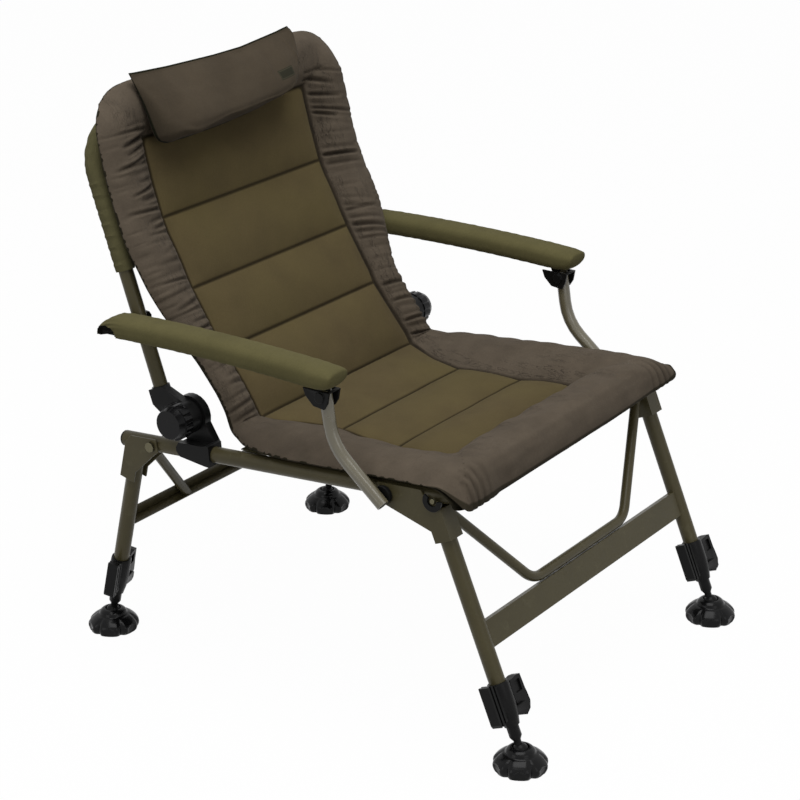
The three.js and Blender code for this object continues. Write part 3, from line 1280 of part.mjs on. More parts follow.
// One row of the back: front side at smaller y, rear side resting on the sheet
function backRow(row, depth, seam_half, rear_limit) {
  const seam = Math.min(seam_half, row.half * seam_limit_share);
  const line = columnsAcross(seam, row.half);
  const top = [];
  const low = [];
  for (const x of line) {
    const side = Math.max(0, (Math.abs(x) - seam) / (row.half - seam));
    const w = Math.max(side, row.end);
    const panel = row.crown * (1 - Math.min(1, Math.abs(x) / seam) ** 6);
    const edge = w > 0.8 ? Math.sqrt(Math.max(0, 1 - ((w - 0.8) / 0.2) ** 2)) : 1;
    const rear = Math.min(row.level + depth, rear_limit);
    const middle = rear - (back_border_crown + depth) / 2;
    const front = w > 0 ? row.level - back_border_crown * borderRise(w) : row.level - panel;
    const outer_share = (middle - row.level + back_border_crown) / back_border_crown;
    const shown = w > 0.45 ? middle + (front - row.level) * outer_share : front;
    top.push(vec(x, w >= 1 ? middle : Math.min(shown, rear - seat_gap), row.up));
    low.push(vec(x, w >= 1 ? middle : middle + (rear - middle) * edge, row.up));
  }
  return { top, low };
}
const rear_limit = back_tube_offset - sleeve_half_depth - seat_gap * 2;
addPiece(back, 'back_mattress', taupe_cloth,
  closedGrid(back_rows.map((row) => backRow(row, back_pad_depth, back_seam_half, rear_limit)), false, true));

// Lumbar rows join the back pad to the seat pad; its cloth hangs free of the frame there
const lumbar_shares = [
  [0, 0.972, -0.041], [0.1, 0.958, -0.11], [0.24, 0.925, -0.22], [0.37, 0.9, -0.33], [0.47, 0.885, -0.45],
  [0.6, 0.88, -0.6], [0.73, 0.88, -0.76], [0.86, 0.885, -0.9], [1, 0.9, -1], [1.06, 0.9, -1.03],
];
const lumbar_channel_shares = [0, 0.8, 1, 0.8, 0, 0.8, 1, 0.8, 0, 0];
const lumbar_drop = 190;
const lumbar_sweep = 56;
const lumbar_top = back_pad_join - pad_join_gap;
const lumbar_rows = lumbar_shares.map(([share, width_share, level_share], i) => ({
  up: lumbar_top - lumbar_drop * share,
  half: back_half_max * width_share,
  level: lumbar_sweep * level_share,
  crown: back_crown * lumbar_channel_shares[i],
  end: 0,
}));
back.updateMatrix();
addPiece(back, 'lumbar_mattress', taupe_cloth,
  closedGrid(lumbar_rows.map((row) => backRow(row, lumbar_depth, back_seam_half, rear_limit)), false, false)
    .subtract(solid(mitreBlock(-1).applyMatrix4(back.matrix.clone().invert()))));

// Head pillow: a cushion with thin ends, narrower below, whose top edge dips between its corners
const pillow_half_width = half_track - pillow_inset;
const pillow_low_half_width = half_track - pillow_bottom_inset;
const pillow_column_shares = [-1, -0.985, -0.92, -0.75, -0.4, 0, 0.4, 0.75, 0.92, 0.985, 1];
const pillow_rings = pillow_column_shares.map((share) => {
  const full = Math.sqrt(Math.max(0, 1 - Math.abs(share) ** 12)) * 0.3 + 0.7;
  const plump = Math.sqrt(Math.max(0, 1 - Math.abs(share) ** 4)) * 0.8 + 0.2;
  const dip = pillow_top_sag * (1 - share * share);
  const half_up = (pillow_top - pillow_bottom - dip) / 2;
  const middle = pillow_bottom + half_up;
  const half_deep = (pillow_depth / 2) * plump;
  const ring = [];
  for (let i = 0; i < tube_sides; i += 1) {
    const angle = (2 * Math.PI * (i + 0.5)) / tube_sides;
    const c = Math.cos(angle);
    const s = Math.sin(angle);
    const rise = full * Math.sign(s) * Math.abs(s) ** 0.75;
    const widening = (pillow_half_width - pillow_low_half_width) * ((1 + rise) / 2) ** 0.6;
    const half = pillow_low_half_width + widening;
    const deep = half_deep * Math.sign(c) * Math.abs(c) ** 0.75;
    ring.push(vec(pillow_shift + half * share, pillow_rear - half_deep + deep, middle + half_up * rise));
  }
  return ring;
});
addPiece(back, 'head_pillow', taupe_cloth, loft(pillow_rings));

export default chair;
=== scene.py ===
from functools import partial
from math import cos, pi, radians, sin, tan

import bmesh
import bpy
import numpy as np
from mathutils import Matrix, Vector


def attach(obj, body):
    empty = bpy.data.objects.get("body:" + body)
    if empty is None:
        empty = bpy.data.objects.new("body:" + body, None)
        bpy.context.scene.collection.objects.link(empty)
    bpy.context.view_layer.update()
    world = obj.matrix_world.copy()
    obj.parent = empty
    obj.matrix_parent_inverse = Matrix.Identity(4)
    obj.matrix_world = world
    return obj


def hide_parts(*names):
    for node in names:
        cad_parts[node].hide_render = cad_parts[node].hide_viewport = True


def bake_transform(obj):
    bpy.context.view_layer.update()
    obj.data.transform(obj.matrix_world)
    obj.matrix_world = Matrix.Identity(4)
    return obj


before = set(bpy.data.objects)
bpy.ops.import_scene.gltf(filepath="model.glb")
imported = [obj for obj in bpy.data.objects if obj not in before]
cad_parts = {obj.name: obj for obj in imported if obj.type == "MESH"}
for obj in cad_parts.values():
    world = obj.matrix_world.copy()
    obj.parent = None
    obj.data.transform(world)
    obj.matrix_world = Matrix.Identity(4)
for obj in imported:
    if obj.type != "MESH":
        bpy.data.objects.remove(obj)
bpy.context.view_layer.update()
scene = bpy.context.scene

# The studio. A pale floor and a white surround, one broad soft lamp overhead and two at the sides,
# and the camera at the photograph's angle and distance.
scene.view_settings.view_transform = "Standard"

camera_place = Vector((-2.411, -1.682, 1.502))
camera_yaw, camera_pitch, camera_roll = radians(54.77), radians(21.52), radians(-0.27)
camera_data = bpy.data.cameras.new("photo_camera")
camera_data.sensor_width = 36
camera_data.lens = 102.87
camera_data.clip_end = 30
camera = bpy.data.objects.new("photo_camera", camera_data)
camera.matrix_world = (
    Matrix.Translation(camera_place) @ Matrix.Rotation(-camera_yaw, 4, "Z")
    @ Matrix.Rotation(pi / 2 - camera_pitch, 4, "X") @ Matrix.Rotation(camera_roll, 4, "Z"))
scene.collection.objects.link(camera)
scene.camera = camera


def wire(node, values):
    """Sets a node's inputs, each to a plain value or to another node's socket."""
    for label, value in values.items():
        if isinstance(value, bpy.types.NodeSocket):
            node.id_data.links.new(value, node.inputs[label])
        else:
            node.inputs[label].default_value = value
    return node


def fed_node(kind, values, **settings):
    """A new node in the tree of the sockets that feed it."""
    tree = next(value.id_data for value in values.values() if isinstance(value, bpy.types.NodeSocket))
    node = tree.nodes.new("ShaderNode" + kind)
    for label, setting in settings.items():
        setattr(node, label, setting)
    return wire(node, values)


def reckon(operation, first, second=0.0):
    """The named operation on one or two values, of which at least one is a socket."""
    return fed_node("Math", {0: first, 1: second}, operation=operation).outputs[0]


plus, minus, times = (partial(reckon, name) for name in ("ADD", "SUBTRACT", "MULTIPLY"))
larger, smaller, size_of = (partial(reckon, name) for name in ("MAXIMUM", "MINIMUM", "ABSOLUTE"))


def seen_directly(tree):
    """1 for camera, mirror and see-through rays, and 0 for the light that falls on things."""
    path = tree.nodes.new("ShaderNodeLightPath")
    mirrored = larger(path.outputs["Is Camera Ray"], path.outputs["Is Glossy Ray"])
    return larger(mirrored, path.outputs["Is Transmission Ray"])


surround = bpy.data.worlds.new("surround")
surround.use_nodes = True
air = surround.node_tree
glow = wire(air.nodes["Background"], {"Color": (1, 1, 1, 1), "Strength": 0.3})
white = wire(air.nodes.new("ShaderNodeBackground"), {"Color": (1, 1, 1, 1), "Strength": 1})
choice = fed_node("MixShader", {0: seen_directly(air), 1: glow.outputs[0], 2: white.outputs[0]})
wire(air.nodes["World Output"], {"Surface": choice.outputs[0]})
scene.world = surround

floor_bm = bmesh.new()
bmesh.ops.create_grid(floor_bm, x_segments=2, y_segments=2, size=6)
floor_mesh = bpy.data.meshes.new("floor")
floor_bm.to_mesh(floor_mesh)
floor_bm.free()
studio_floor = bpy.data.objects.new("studio_floor", floor_mesh)
scene.collection.objects.link(studio_floor)
floor_paint = bpy.data.materials.new("floor_paint")
floor_paint.use_nodes = True
floor_tree = floor_paint.node_tree
floor_matt = wire(floor_tree.nodes["Principled BSDF"],
                  {"Base Color": (0.5, 0.5, 0.5, 1), "Roughness": 0.9, "Specular IOR Level": 0})
floor_white = wire(floor_tree.nodes.new("ShaderNodeEmission"), {"Strength": 1.015})
white_share = times(seen_directly(floor_tree), 0.965)
floor_mix = fed_node("MixShader", {0: white_share, 1: floor_matt.outputs[0], 2: floor_white.outputs[0]})
wire(floor_tree.nodes["Material Output"], {"Surface": floor_mix.outputs[0]})
floor_mesh.materials.append(floor_paint)

lamp_target = Vector((0, 0, 0.35))
for lamp_name, place, size, power in (
    ("overhead_lamp", (-0.5, -0.3, 2.9), 2.2, 58),
    ("front_lamp", (-0.9, -2.9, 1.5), 1.6, 9),
    ("side_lamp", (-3.0, 0.7, 1.4), 1.4, 10),
):
    lamp_data = bpy.data.lights.new(lamp_name, "AREA")
    lamp_data.size = size
    lamp_data.energy = power
    lamp = bpy.data.objects.new(lamp_name, lamp_data)
    aim = lamp_target - Vector(place)
    lamp.matrix_world = Matrix.Translation(place) @ aim.to_track_quat("-Z", "Y").to_matrix().to_4x4()
    scene.collection.objects.link(lamp)

# The seat frame. One steel tube bent to a U and a dropped cross tube, sprayed semi-gloss olive, which
# shows a fine orange-peel skin and faint handling marks. The other frame parts share the paint.


def to_linear(red, green, blue):
    """A colour as read from a screen, from 0 to 255, in the renderer's own scale."""
    shares = [channel / 255 for channel in (red, green, blue)]
    return (*[s / 12.92 if s <= 0.04045 else ((s + 0.055) / 1.055) ** 2.4 for s in shares], 1)


def new_group(name, inputs, outputs):
    """A node group for several finishes to share, with its input and output nodes."""
    group = bpy.data.node_groups.new(name, "ShaderNodeTree")
    kinds = {label: "NodeSocketColor" if label == "Colour" else "NodeSocketFloat" for label in (*inputs, *outputs)}
    for label, value in inputs.items():
        group.interface.new_socket(label, in_out="INPUT", socket_type=kinds[label]).default_value = value
    for label in outputs:
        group.interface.new_socket(label, in_out="OUTPUT", socket_type=kinds[label])
    return group, group.nodes.new("NodeGroupInput"), group.nodes.new("NodeGroupOutput")


def noise_at(vector, scale, detail=4, roughness=0.5):
    """A noise on that vector socket."""
    values = {"Vector": vector, "Scale": scale, "Detail": detail, "Roughness": roughness}
    return fed_node("TexNoise", values).outputs["Fac"]


def mixed(share, first, second, kind="MIX"):
    """A mix of two colours, which are sockets or plain values."""
    return fed_node("Mix", {0: share, 6: first, 7: second}, data_type="RGBA", blend_type=kind).outputs[2]


def spread(value, low, high, to_low, to_high):
    """A value mapped from one range to another, and held inside it."""
    values = {"Value": value, "From Min": low, "From Max": high, "To Min": to_low, "To Max": to_high}
    return fed_node("MapRange", values).outputs["Result"]


def relief(height, distance, strength):
    """The normal of a surface that a height raises."""
    return fed_node("Bump", {"Distance": distance, "Strength": strength, "Height": height}).outputs["Normal"]


def new_finish(name, values):
    """A material, its tree, and its shader with those values set."""
    finish = bpy.data.materials.new(name)
    finish.use_nodes = True
    tree = finish.node_tree
    return finish, tree, wire(tree.nodes["Principled BSDF"], values)


sprayed_skin, skin_in, skin_out = new_group(
    "sprayed_skin", {"Colour": (0.1, 0.1, 0.1, 1), "Roughness": 0.4, "Peel Scale": 900, "Rub": 0.25},
    ("Colour", "Roughness", "Height"))
skin_at = sprayed_skin.nodes.new("ShaderNodeTexCoord").outputs["Object"]
peel = noise_at(skin_at, skin_in.outputs["Peel Scale"], 3)
clouds = noise_at(skin_at, 9, 5, 0.6)
marks = noise_at(skin_at, 60, 8, 0.72)
rubbed = times(spread(marks, 0.56, 0.72, 0, 1), skin_in.outputs["Rub"])
cloud_tint = spread(clouds, 0.3, 0.7, 0.88, 1.1)
tinted = mixed(1.0, skin_in.outputs["Colour"], cloud_tint, "MULTIPLY")
worn = mixed(rubbed, tinted, to_linear(120, 118, 96))
dulled = plus(skin_in.outputs["Roughness"], spread(marks, 0.35, 0.7, -0.05, 0.1))
wire(skin_out, {"Colour": worn, "Roughness": dulled, "Height": peel})


def skinned_material(name, colour, roughness, peel_scale, rub, depth, metallic=0.0, bend=1.3):
    """A painted, plated or moulded finish whose colour, roughness and relief come from the skin group."""
    finish, tree, shader = new_finish(name, {"Metallic": metallic, "IOR": bend})
    skin = tree.nodes.new("ShaderNodeGroup")
    skin.node_tree = sprayed_skin
    wire(skin, {"Colour": to_linear(*colour), "Roughness": roughness, "Peel Scale": peel_scale, "Rub": rub})
    wire(shader, {"Base Color": skin.outputs["Colour"], "Roughness": skin.outputs["Roughness"],
                  "Normal": relief(skin.outputs["Height"], depth, 0.35)})
    return finish


olive_paint = skinned_material("olive_paint", (75, 69, 47), 0.34, 700, 0.2, 0.0002, bend=1.28)


def placed_piece(bm, name, finish, body, cad_nodes, bevel=0.0, crease=32):
    """The finished piece of a bmesh: smooth with crisp edges, on its body, in place of its CAD nodes."""
    mesh = bpy.data.meshes.new(name)
    bm.to_mesh(mesh)
    bm.free()
    mesh.shade_smooth()
    mesh.set_sharp_from_angle(angle=radians(crease))
    mesh.materials.append(finish)
    piece = bpy.data.objects.new(name, mesh)
    scene.collection.objects.link(piece)
    if bevel:
        rounding = piece.modifiers.new("edge_round", "BEVEL")
        rounding.width = bevel
        rounding.segments = 2
        rounding.limit_method = "ANGLE"
        rounding.angle_limit = radians(crease)
        rounding.harden_normals = True
    if cad_nodes:
        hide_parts(*cad_nodes)
    if body:
        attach(piece, body)
    return piece


def thickened(bm, thickness):
    """Gives a bare sheet its thickness, with all faces outward."""
    bmesh.ops.solidify(bm, geom=list(bm.faces), thickness=thickness)
    bmesh.ops.recalc_face_normals(bm, faces=bm.faces)


def bent_tube(corners, bend_radius, radius, wall, widen=(1, 1, 1), segments=32, bend_steps=14):
    """A tube bent along a line of corner points: each straight is extruded and each bend is spun."""
    bm = bmesh.new()
    points = [Vector(corner) for corner in corners]
    heading = (points[1] - points[0]).normalized()
    ring = bmesh.ops.create_circle(bm, segments=segments, radius=radius)["verts"]
    turn = Vector((0, 0, 1)).rotation_difference(heading).to_matrix()
    bmesh.ops.rotate(bm, verts=ring, cent=(0, 0, 0), matrix=turn)
    bmesh.ops.scale(bm, verts=ring, vec=widen)
    bmesh.ops.translate(bm, verts=ring, vec=points[0])
    edges = list(bm.edges)
    place = points[0].copy()
    for index in range(1, len(points)):
        onward = heading
        cut_back = 0
        if index + 1 < len(points):
            onward = (points[index + 1] - points[index]).normalized()
            angle = heading.angle(onward)
            cut_back = bend_radius * tan(angle / 2)
        grown = bmesh.ops.extrude_edge_only(bm, edges=edges)["geom"]
        edges = [e for e in grown if isinstance(e, bmesh.types.BMEdge)]
        target = points[index] - heading * cut_back
        bmesh.ops.translate(bm, verts=[v for v in grown if isinstance(v, bmesh.types.BMVert)], vec=target - place)
        place = target
        if cut_back:
            axis = heading.cross(onward).normalized()
            centre = place + axis.cross(heading) * bend_radius
            spun = bmesh.ops.spin(
                bm, geom=edges, cent=centre, axis=axis, angle=angle, steps=bend_steps, use_duplicate=False)
            edges = [e for e in spun["geom_last"] if isinstance(e, bmesh.types.BMEdge)]
            place = points[index] + onward * cut_back
            heading = onward
    bmesh.ops.recalc_face_normals(bm, faces=bm.faces)
    thickened(bm, wall)
    return bm


def tilted_point(origin, angle, x, y, z):
    """A point measured across, along and above a part that leans by an angle at its origin."""
    return origin + Vector((x, y * cos(angle) + z * sin(angle), z * cos(angle) - y * sin(angle)))


on_seat = partial(tilted_point, Vector((0, -0.000973, 0.327117)), radians(4.64))
half_track, rail_front, rail_rear, tube_wall = 0.255, -0.234, 0.302, 0.0015
rail_corners = [on_seat(-half_track, rail_rear, 0), on_seat(-half_track, rail_front, 0),
                on_seat(half_track, rail_front, 0), on_seat(half_track, rail_rear, 0)]
rail_bm = bent_tube(rail_corners, bend_radius=0.032, radius=0.011, wall=tube_wall)
placed_piece(rail_bm, "seat_rail", olive_paint, "seat", ["seat_frame"])


def clean_copy(node):
    """A CAD node's shape with its loose triangles merged into whole faces."""
    bm = bmesh.new()
    bm.from_mesh(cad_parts[node].data)
    bmesh.ops.remove_doubles(bm, verts=bm.verts, dist=0.00002)
    bmesh.ops.dissolve_limit(bm, angle_limit=radians(0.5), verts=bm.verts, edges=bm.edges)
    return bm


def cad_piece(node, name, finish, body, bevel=0.0):
    """A CAD node's own shape, dressed in its finish with its edges rounded."""
    return placed_piece(clean_copy(node), name, finish, body, [node], bevel)


cad_piece("seat_cross_tube", "cross_tube", olive_paint, "seat")

# Small fittings of the rails. Plugs in the rail ends and clamp shoes of the recliner, moulded in glass-filled
# nylon with a fine spark-eroded grain, and the plated steel bolts that the leg frames turn on.
black_nylon = skinned_material("black_nylon", (19, 19, 19), 0.34, 1400, 0.03, 0.00012, bend=1.2)
zinc_steel = skinned_material("zinc_steel", (96, 92, 74), 0.4, 1200, 0.3, 0.00005, metallic=1.0)
sides = {"left": -1, "right": 1}
ends = {"front": -1, "rear": 1}
for side in sides:
    cad_piece(f"rail_end_cap_{side}", f"rail_plug_{side}", black_nylon, "seat", 0.0008)
    cad_piece(f"recliner_shoe_{side}", f"clamp_shoe_{side}", black_nylon, "seat", 0.0009)
    for end in ends:
        cad_piece(f"{end}_pivot_bolt_{side}", f"{end}_leg_bolt_{side}", zinc_steel, "seat", 0.0006)

# Front and rear legs. Olive tubes in pressed brackets, tied by a crossbar in front and by an angle bar with
# two struts behind. Each ends in a moulded collar, whose cam lever grips the inner leg that slides in it.
for end in ends:
    legs = f"{end}_legs"
    cad_piece(f"{end}_crossbar", f"{end}_tie_bar", olive_paint, legs, 0.0005)
    for side in sides:
        for node, name, finish, body, slot, bevel in (
            ("leg", "leg_tube", olive_paint, legs, "olive_paint", 0),
            ("bracket", "hanger", olive_paint, legs, "olive_paint", 0.0006),
            ("collar", "lock", black_nylon, legs, "black_plastic", 0.0008),
            ("lever", "cam", black_nylon, f"{end}_cam_{side}", "black_plastic", 0.001),
            ("inner_leg", "slider", black_nylon, f"{end}_inner_{side}", "black_plastic", 0),
        ):
            cad_piece(f"{end}_{node}_{side}", f"{end}_{name}_{side}", finish, body, bevel)

# The swivel feet. Glossy black mouldings with six lobes, notched between the lobes and hollowed on their
# faces, which turn on the ball of the inner leg in a socket at the top.


def new_grid(bm, columns, rows):
    """A flat grid's points, and their places from -1 to 1 across and along it."""
    made = bmesh.ops.create_grid(bm, x_segments=columns, y_segments=rows, size=1)["verts"]
    return made, np.array([vert.co[:] for vert in made])


def moved_to(made, points, layers=(), facts=()):
    """Moves points to their new places, and notes each one's facts in the layers."""
    for vert, point, *values in zip(made, points, *facts):
        vert.co = point
        for layer, value in zip(layers, values):
            vert[layer] = value


def closed_up(bm, reach):
    """Joins the points that meet within the reach, and turns all faces outward."""
    bmesh.ops.remove_doubles(bm, verts=bm.verts, dist=reach)
    bmesh.ops.recalc_face_normals(bm, faces=bm.faces)


gloss_black = skinned_material("gloss_black", (14, 14, 15), 0.2, 300, 0.02, 0.00005, bend=1.24)
foot_y, foot_lobes, notch_depth, hollow_depth = 0.344025, 6, 0.0052, 0.0030
foot_climb = (0, 0.11, 0.14, 0.20, 0.26, 0.34, 0.42, 0.50, 0.58, 0.60, 0.63, 0.65, 0.70, 0.74, 0.76, 0.80, 0.86,
              0.92, 0.96, 1)
foot_radii = (0, 0.0330, 0.0342, 0.0356, 0.0360, 0.0353, 0.0330, 0.0292, 0.0240, 0.0226, 0.0204, 0.0196, 0.0186,
              0.0142, 0.0112, 0.0112, 0.0122, 0.0100, 0.0058, 0)
foot_heights = (0, 0, 0.0006, 0.0040, 0.0075, 0.0110, 0.0145, 0.0182, 0.0218, 0.0222, 0.0226, 0.0240, 0.0268,
                0.0306, 0.0310, 0.0300, 0.0250, 0.0180, 0.0140, 0.0128)
for end, end_sign in ends.items():
    for side, sign in sides.items():
        foot_bm = bmesh.new()
        made, grid = new_grid(foot_bm, 96, 44)
        turn, climb = (grid[:, 0] + 1) * pi, (grid[:, 1] + 1) / 2
        radius, height = np.interp(climb, foot_climb, foot_radii), np.interp(climb, foot_climb, foot_heights)
        lobe = np.abs(((turn * foot_lobes / (2 * pi)) % 1) - 0.5) * 2
        outer = np.clip((climb - 0.10) / 0.02, 0, 1) * np.clip((0.62 - climb) / 0.05, 0, 1)
        notch = np.clip((lobe - 0.72) / 0.28, 0, 1) ** 0.8 * np.clip(1 - height / 0.0235, 0, 1) ** 0.6
        hollow = np.clip(1 - (lobe / 0.48) ** 2 - ((height - 0.0065) / 0.0062) ** 2, 0, 1) ** 0.35
        radius = radius - outer * (notch_depth * notch + hollow_depth * hollow)
        moved_to(made, np.stack([half_track * sign + radius * np.cos(turn),
                                 foot_y * end_sign + radius * np.sin(turn), height], 1))
        closed_up(foot_bm, 0.00002)
        placed_piece(foot_bm, f"{end}_mud_foot_{side}", gloss_black, f"{end}_pad_{side}",
                     [f"{end}_foot_{side}"], crease=40)

# The rail hooks. A nylon claw on the outside of each front bracket, which is a small rectangle spun most of
# the way round the plated stud that holds it.
hook_axis = Vector((0, -0.2190, 0.3442))
hook_x, stud_x, hook_radius = 0.2712, 0.2706, 0.0102
hook_width, hook_thickness = 0.0042, 0.0072
for side, sign in sides.items():
    hook_bm = bmesh.new()
    face = bmesh.ops.create_grid(hook_bm, x_segments=1, y_segments=1, size=0.5)["verts"]
    bmesh.ops.scale(hook_bm, verts=face, vec=(hook_width, hook_thickness, 1))
    bmesh.ops.translate(hook_bm, verts=face, vec=hook_axis + Vector((sign * hook_x, hook_radius, 0)))
    bmesh.ops.rotate(hook_bm, verts=face, cent=hook_axis, matrix=Matrix.Rotation(radians(35), 3, "X"))
    bmesh.ops.spin(hook_bm, geom=list(hook_bm.faces), cent=hook_axis, axis=(1, 0, 0), angle=radians(-225), steps=30)
    bmesh.ops.recalc_face_normals(hook_bm, faces=hook_bm.faces)
    placed_piece(hook_bm, f"rail_hook_{side}", black_nylon, "front_legs", [], bevel=0.0008)
    stud_bm = bmesh.new()
    stud_turn = Matrix.Translation(hook_axis + Vector((sign * stud_x, 0, 0))) @ Matrix.Rotation(sign * pi / 2, 4, "Y")
    bmesh.ops.create_cone(
        stud_bm, cap_ends=True, segments=20, radius1=0.0042, radius2=0.0034, depth=0.0036, matrix=stud_turn)
    placed_piece(stud_bm, f"hook_stud_{side}", zinc_steel, "front_legs", [], bevel=0.0006)

# The front brace. A thin steel tube bent to a shallow U, which hangs from the two front brackets behind the
# crossbar and stiffens the legs.
brace_top, brace_foot = (0.2405, -0.2185, 0.3225), (0.117, -0.2733, 0.1904)
brace_corners = [(-brace_top[0], *brace_top[1:]), (-brace_foot[0], *brace_foot[1:]), brace_foot, brace_top]
brace_bm = bent_tube(brace_corners, bend_radius=0.042, radius=0.007, wall=0.0012, segments=24, bend_steps=12)
placed_piece(brace_bm, "front_brace_tube", olive_paint, "front_legs", ["front_brace"])

# The back frame. One steel tube bent to a hoop with wide corners, fixed in the sockets of the moulded recliner
# arms, whose lean the scalloped knobs clamp. The armrests turn on bolts through it and stand on bent links.
recliner_axis = Vector((0, 0.1893271, 0.3601314))
back_lean = radians(19)
on_back = partial(tilted_point, recliner_axis, back_lean)
hoop_half, hoop_level, hoop_top, hoop_bend = 0.252, 0.0342, 0.402, 0.066


def hoop_line(foot):
    """The hoop's corner points, from that height on the left, over the top, to the same height on the right."""
    return [on_back(-hoop_half, hoop_level, foot), on_back(-hoop_half, hoop_level, hoop_top),
            on_back(hoop_half, hoop_level, hoop_top), on_back(hoop_half, hoop_level, foot)]


hoop_bm = bent_tube(hoop_line(0.026), hoop_bend, radius=0.010, wall=tube_wall)
placed_piece(hoop_bm, "back_hoop", olive_paint, "back", ["back_frame"])
link_paint = skinned_material("link_paint", (98, 92, 73), 0.22, 700, 0.1, 0.00006, bend=1.65)
clevis_nose, nose_share = -0.0742, 0.35
for side in sides:
    cad_piece(f"recliner_arm_{side}", f"hoop_socket_{side}", black_nylon, "back", 0.001)
    cad_piece(f"recliner_knob_{side}", f"grip_knob_{side}", gloss_black, f"knob_{side}", 0.001)
    cad_piece(f"armrest_bolt_{side}", f"arm_bolt_{side}", black_nylon, "back", 0.0006)
    clevis_bm = clean_copy(f"armrest_clevis_{side}")
    for vert in clevis_bm.verts:
        if vert.co.y < clevis_nose:
            vert.co.y = clevis_nose + (vert.co.y - clevis_nose) * nose_share
    placed_piece(clevis_bm, f"arm_clevis_{side}", black_nylon, f"armrest_{side}",
                 [f"armrest_clevis_{side}"], bevel=0.0008)
    cad_piece(f"arm_link_{side}", f"link_tube_{side}", link_paint, f"link_{side}")
    cad_piece(f"link_spacer_{side}", f"link_washer_{side}", black_nylon, f"link_{side}", 0.0006)

# The cloth of the slings, armrests, mattress and pillow. Brushed polyester with a soft nap, seen as slow
# patches of lighter and darker pile over a fine felted grain.
brushed_cloth, nap_in, nap_out = new_group(
    "brushed_cloth", {"Colour": (0.1, 0.1, 0.1, 1), "Patch Scale": 14, "Patch Depth": 0.12, "Nap Scale": 1800},
    ("Colour", "Height"))
nap_at = brushed_cloth.nodes.new("ShaderNodeTexCoord").outputs["Object"]
patches = noise_at(nap_at, nap_in.outputs["Patch Scale"], 6, 0.62)
nap = noise_at(nap_at, nap_in.outputs["Nap Scale"], 2)
flecks = noise_at(nap_at, 420, 3, 0.7)
patch_value = plus(1.0, times(spread(patches, 0.3, 0.7, -1, 1), nap_in.outputs["Patch Depth"]))
fleck_value = times(patch_value, spread(flecks, 0.3, 0.7, 0.94, 1.06))
nap_colour = mixed(1.0, nap_in.outputs["Colour"], fleck_value, "MULTIPLY")
nap_height = plus(nap, times(flecks, 1.5))
wire(nap_out, {"Colour": nap_colour, "Height": nap_height})


def cloth_material(name, colour, patch_depth=0.12, nap_scale=1800):
    """A cloth finish, with its tree and group node returned for what a piece adds to them."""
    finish, tree, shader = new_finish(
        name, {"Roughness": 0.92, "IOR": 1.1, "Sheen Weight": 0.03, "Sheen Roughness": 0.5})
    cloth = tree.nodes.new("ShaderNodeGroup")
    cloth.node_tree = brushed_cloth
    wire(cloth, {"Colour": to_linear(*colour), "Patch Depth": patch_depth, "Nap Scale": nap_scale})
    wire(shader, {"Base Color": cloth.outputs["Colour"], "Normal": relief(cloth.outputs["Height"], 0.0004, 0.4)})
    return finish, tree, cloth


# The slings. A tight woven sheet laced over the seat rails, and a sleeve of the same cloth that is pulled
# down over the hoop like a pillowcase, with the panel of its front stretched between the hoop's sides.
sling_cloth, _, _ = cloth_material("sling_cloth", (90, 86, 60), 0.08, 2400)
sheet_half, sheet_front, sheet_length, sheet_height, sheet_sag = 0.239, -0.2227, 0.3347, 0.0078, 0.010
sheet_thickness = 0.0014
sheet_bm = bmesh.new()
bmesh.ops.create_grid(sheet_bm, x_segments=24, y_segments=16, size=1)
for vert in sheet_bm.verts:
    across_share, along_share = vert.co.x, (vert.co.y + 1) / 2
    sag = sheet_sag * (1 - across_share ** 2) * sin(pi * along_share) ** 0.5
    vert.co = on_seat(sheet_half * across_share, sheet_front + sheet_length * along_share, sheet_height - sag)
thickened(sheet_bm, sheet_thickness)
seat_sheet = placed_piece(sheet_bm, "seat_sheet", sling_cloth, "seat", ["seat_sling"])

panel_half, panel_foot, panel_rise, panel_level = 0.2445, 0.210, 0.193, 0.0205
corner_x, corner_up = hoop_half - hoop_bend, hoop_top - hoop_bend
panel_bm = bmesh.new()
bmesh.ops.create_grid(panel_bm, x_segments=40, y_segments=18, size=1)
for vert in panel_bm.verts:
    x, up = panel_half * vert.co.x, panel_foot + panel_rise * (vert.co.y + 1) / 2
    past = Vector((max(0, abs(x) - corner_x), max(0, up - corner_up)))
    if past.length > hoop_bend and past.x > 0 and past.y > 0:
        past *= hoop_bend / past.length
        x, up = (corner_x + past.x) * (1 if x > 0 else -1), corner_up + past.y
    vert.co = on_back(x, panel_level, up)
thickened(panel_bm, sheet_thickness)
back_panel = placed_piece(panel_bm, "back_panel", sling_cloth, "back", ["back_sling"])

sleeve_bm = bent_tube(hoop_line(0.209), hoop_bend, radius=1, wall=0.0012, widen=(0.0122, 0.0145, 0.0145),
                      segments=28, bend_steps=22)
bmesh.ops.subdivide_edges(
    sleeve_bm, edges=[e for e in sleeve_bm.edges if e.calc_length() > 0.05], cuts=40, use_grid_fill=True)
for vert in sleeve_bm.verts:
    height = (vert.co - recliner_axis).dot(Vector((0, sin(back_lean), cos(back_lean))))
    pull = 0.0009 * sin(height * 620 + vert.co.x * 90) * sin(height * 173 + 1)
    corner_pull = max(0, 1 - abs(height - 0.375) / 0.045) * 0.0012 * sin(height * 900 + 3 * sin(vert.co.y * 300))
    vert.co.x += (pull + corner_pull) * (1 if abs(vert.co.x) > 0.17 else 0)
back_sleeve = placed_piece(sleeve_bm, "back_sleeve", sling_cloth, "back", [])

# Armrest pads. Foam tubes in an olive cloth sleeve, gathered at the rear end, where its mouth shows the dark
# lining, and slanted at the nose. A steel core runs through each, between the hoop's bolt and the clevis.


def smooth_step(value):
    """0 below 0, 1 above 1, and an easy curve between them."""
    value = np.clip(value, 0, 1)
    return value * value * (3 - 2 * value)


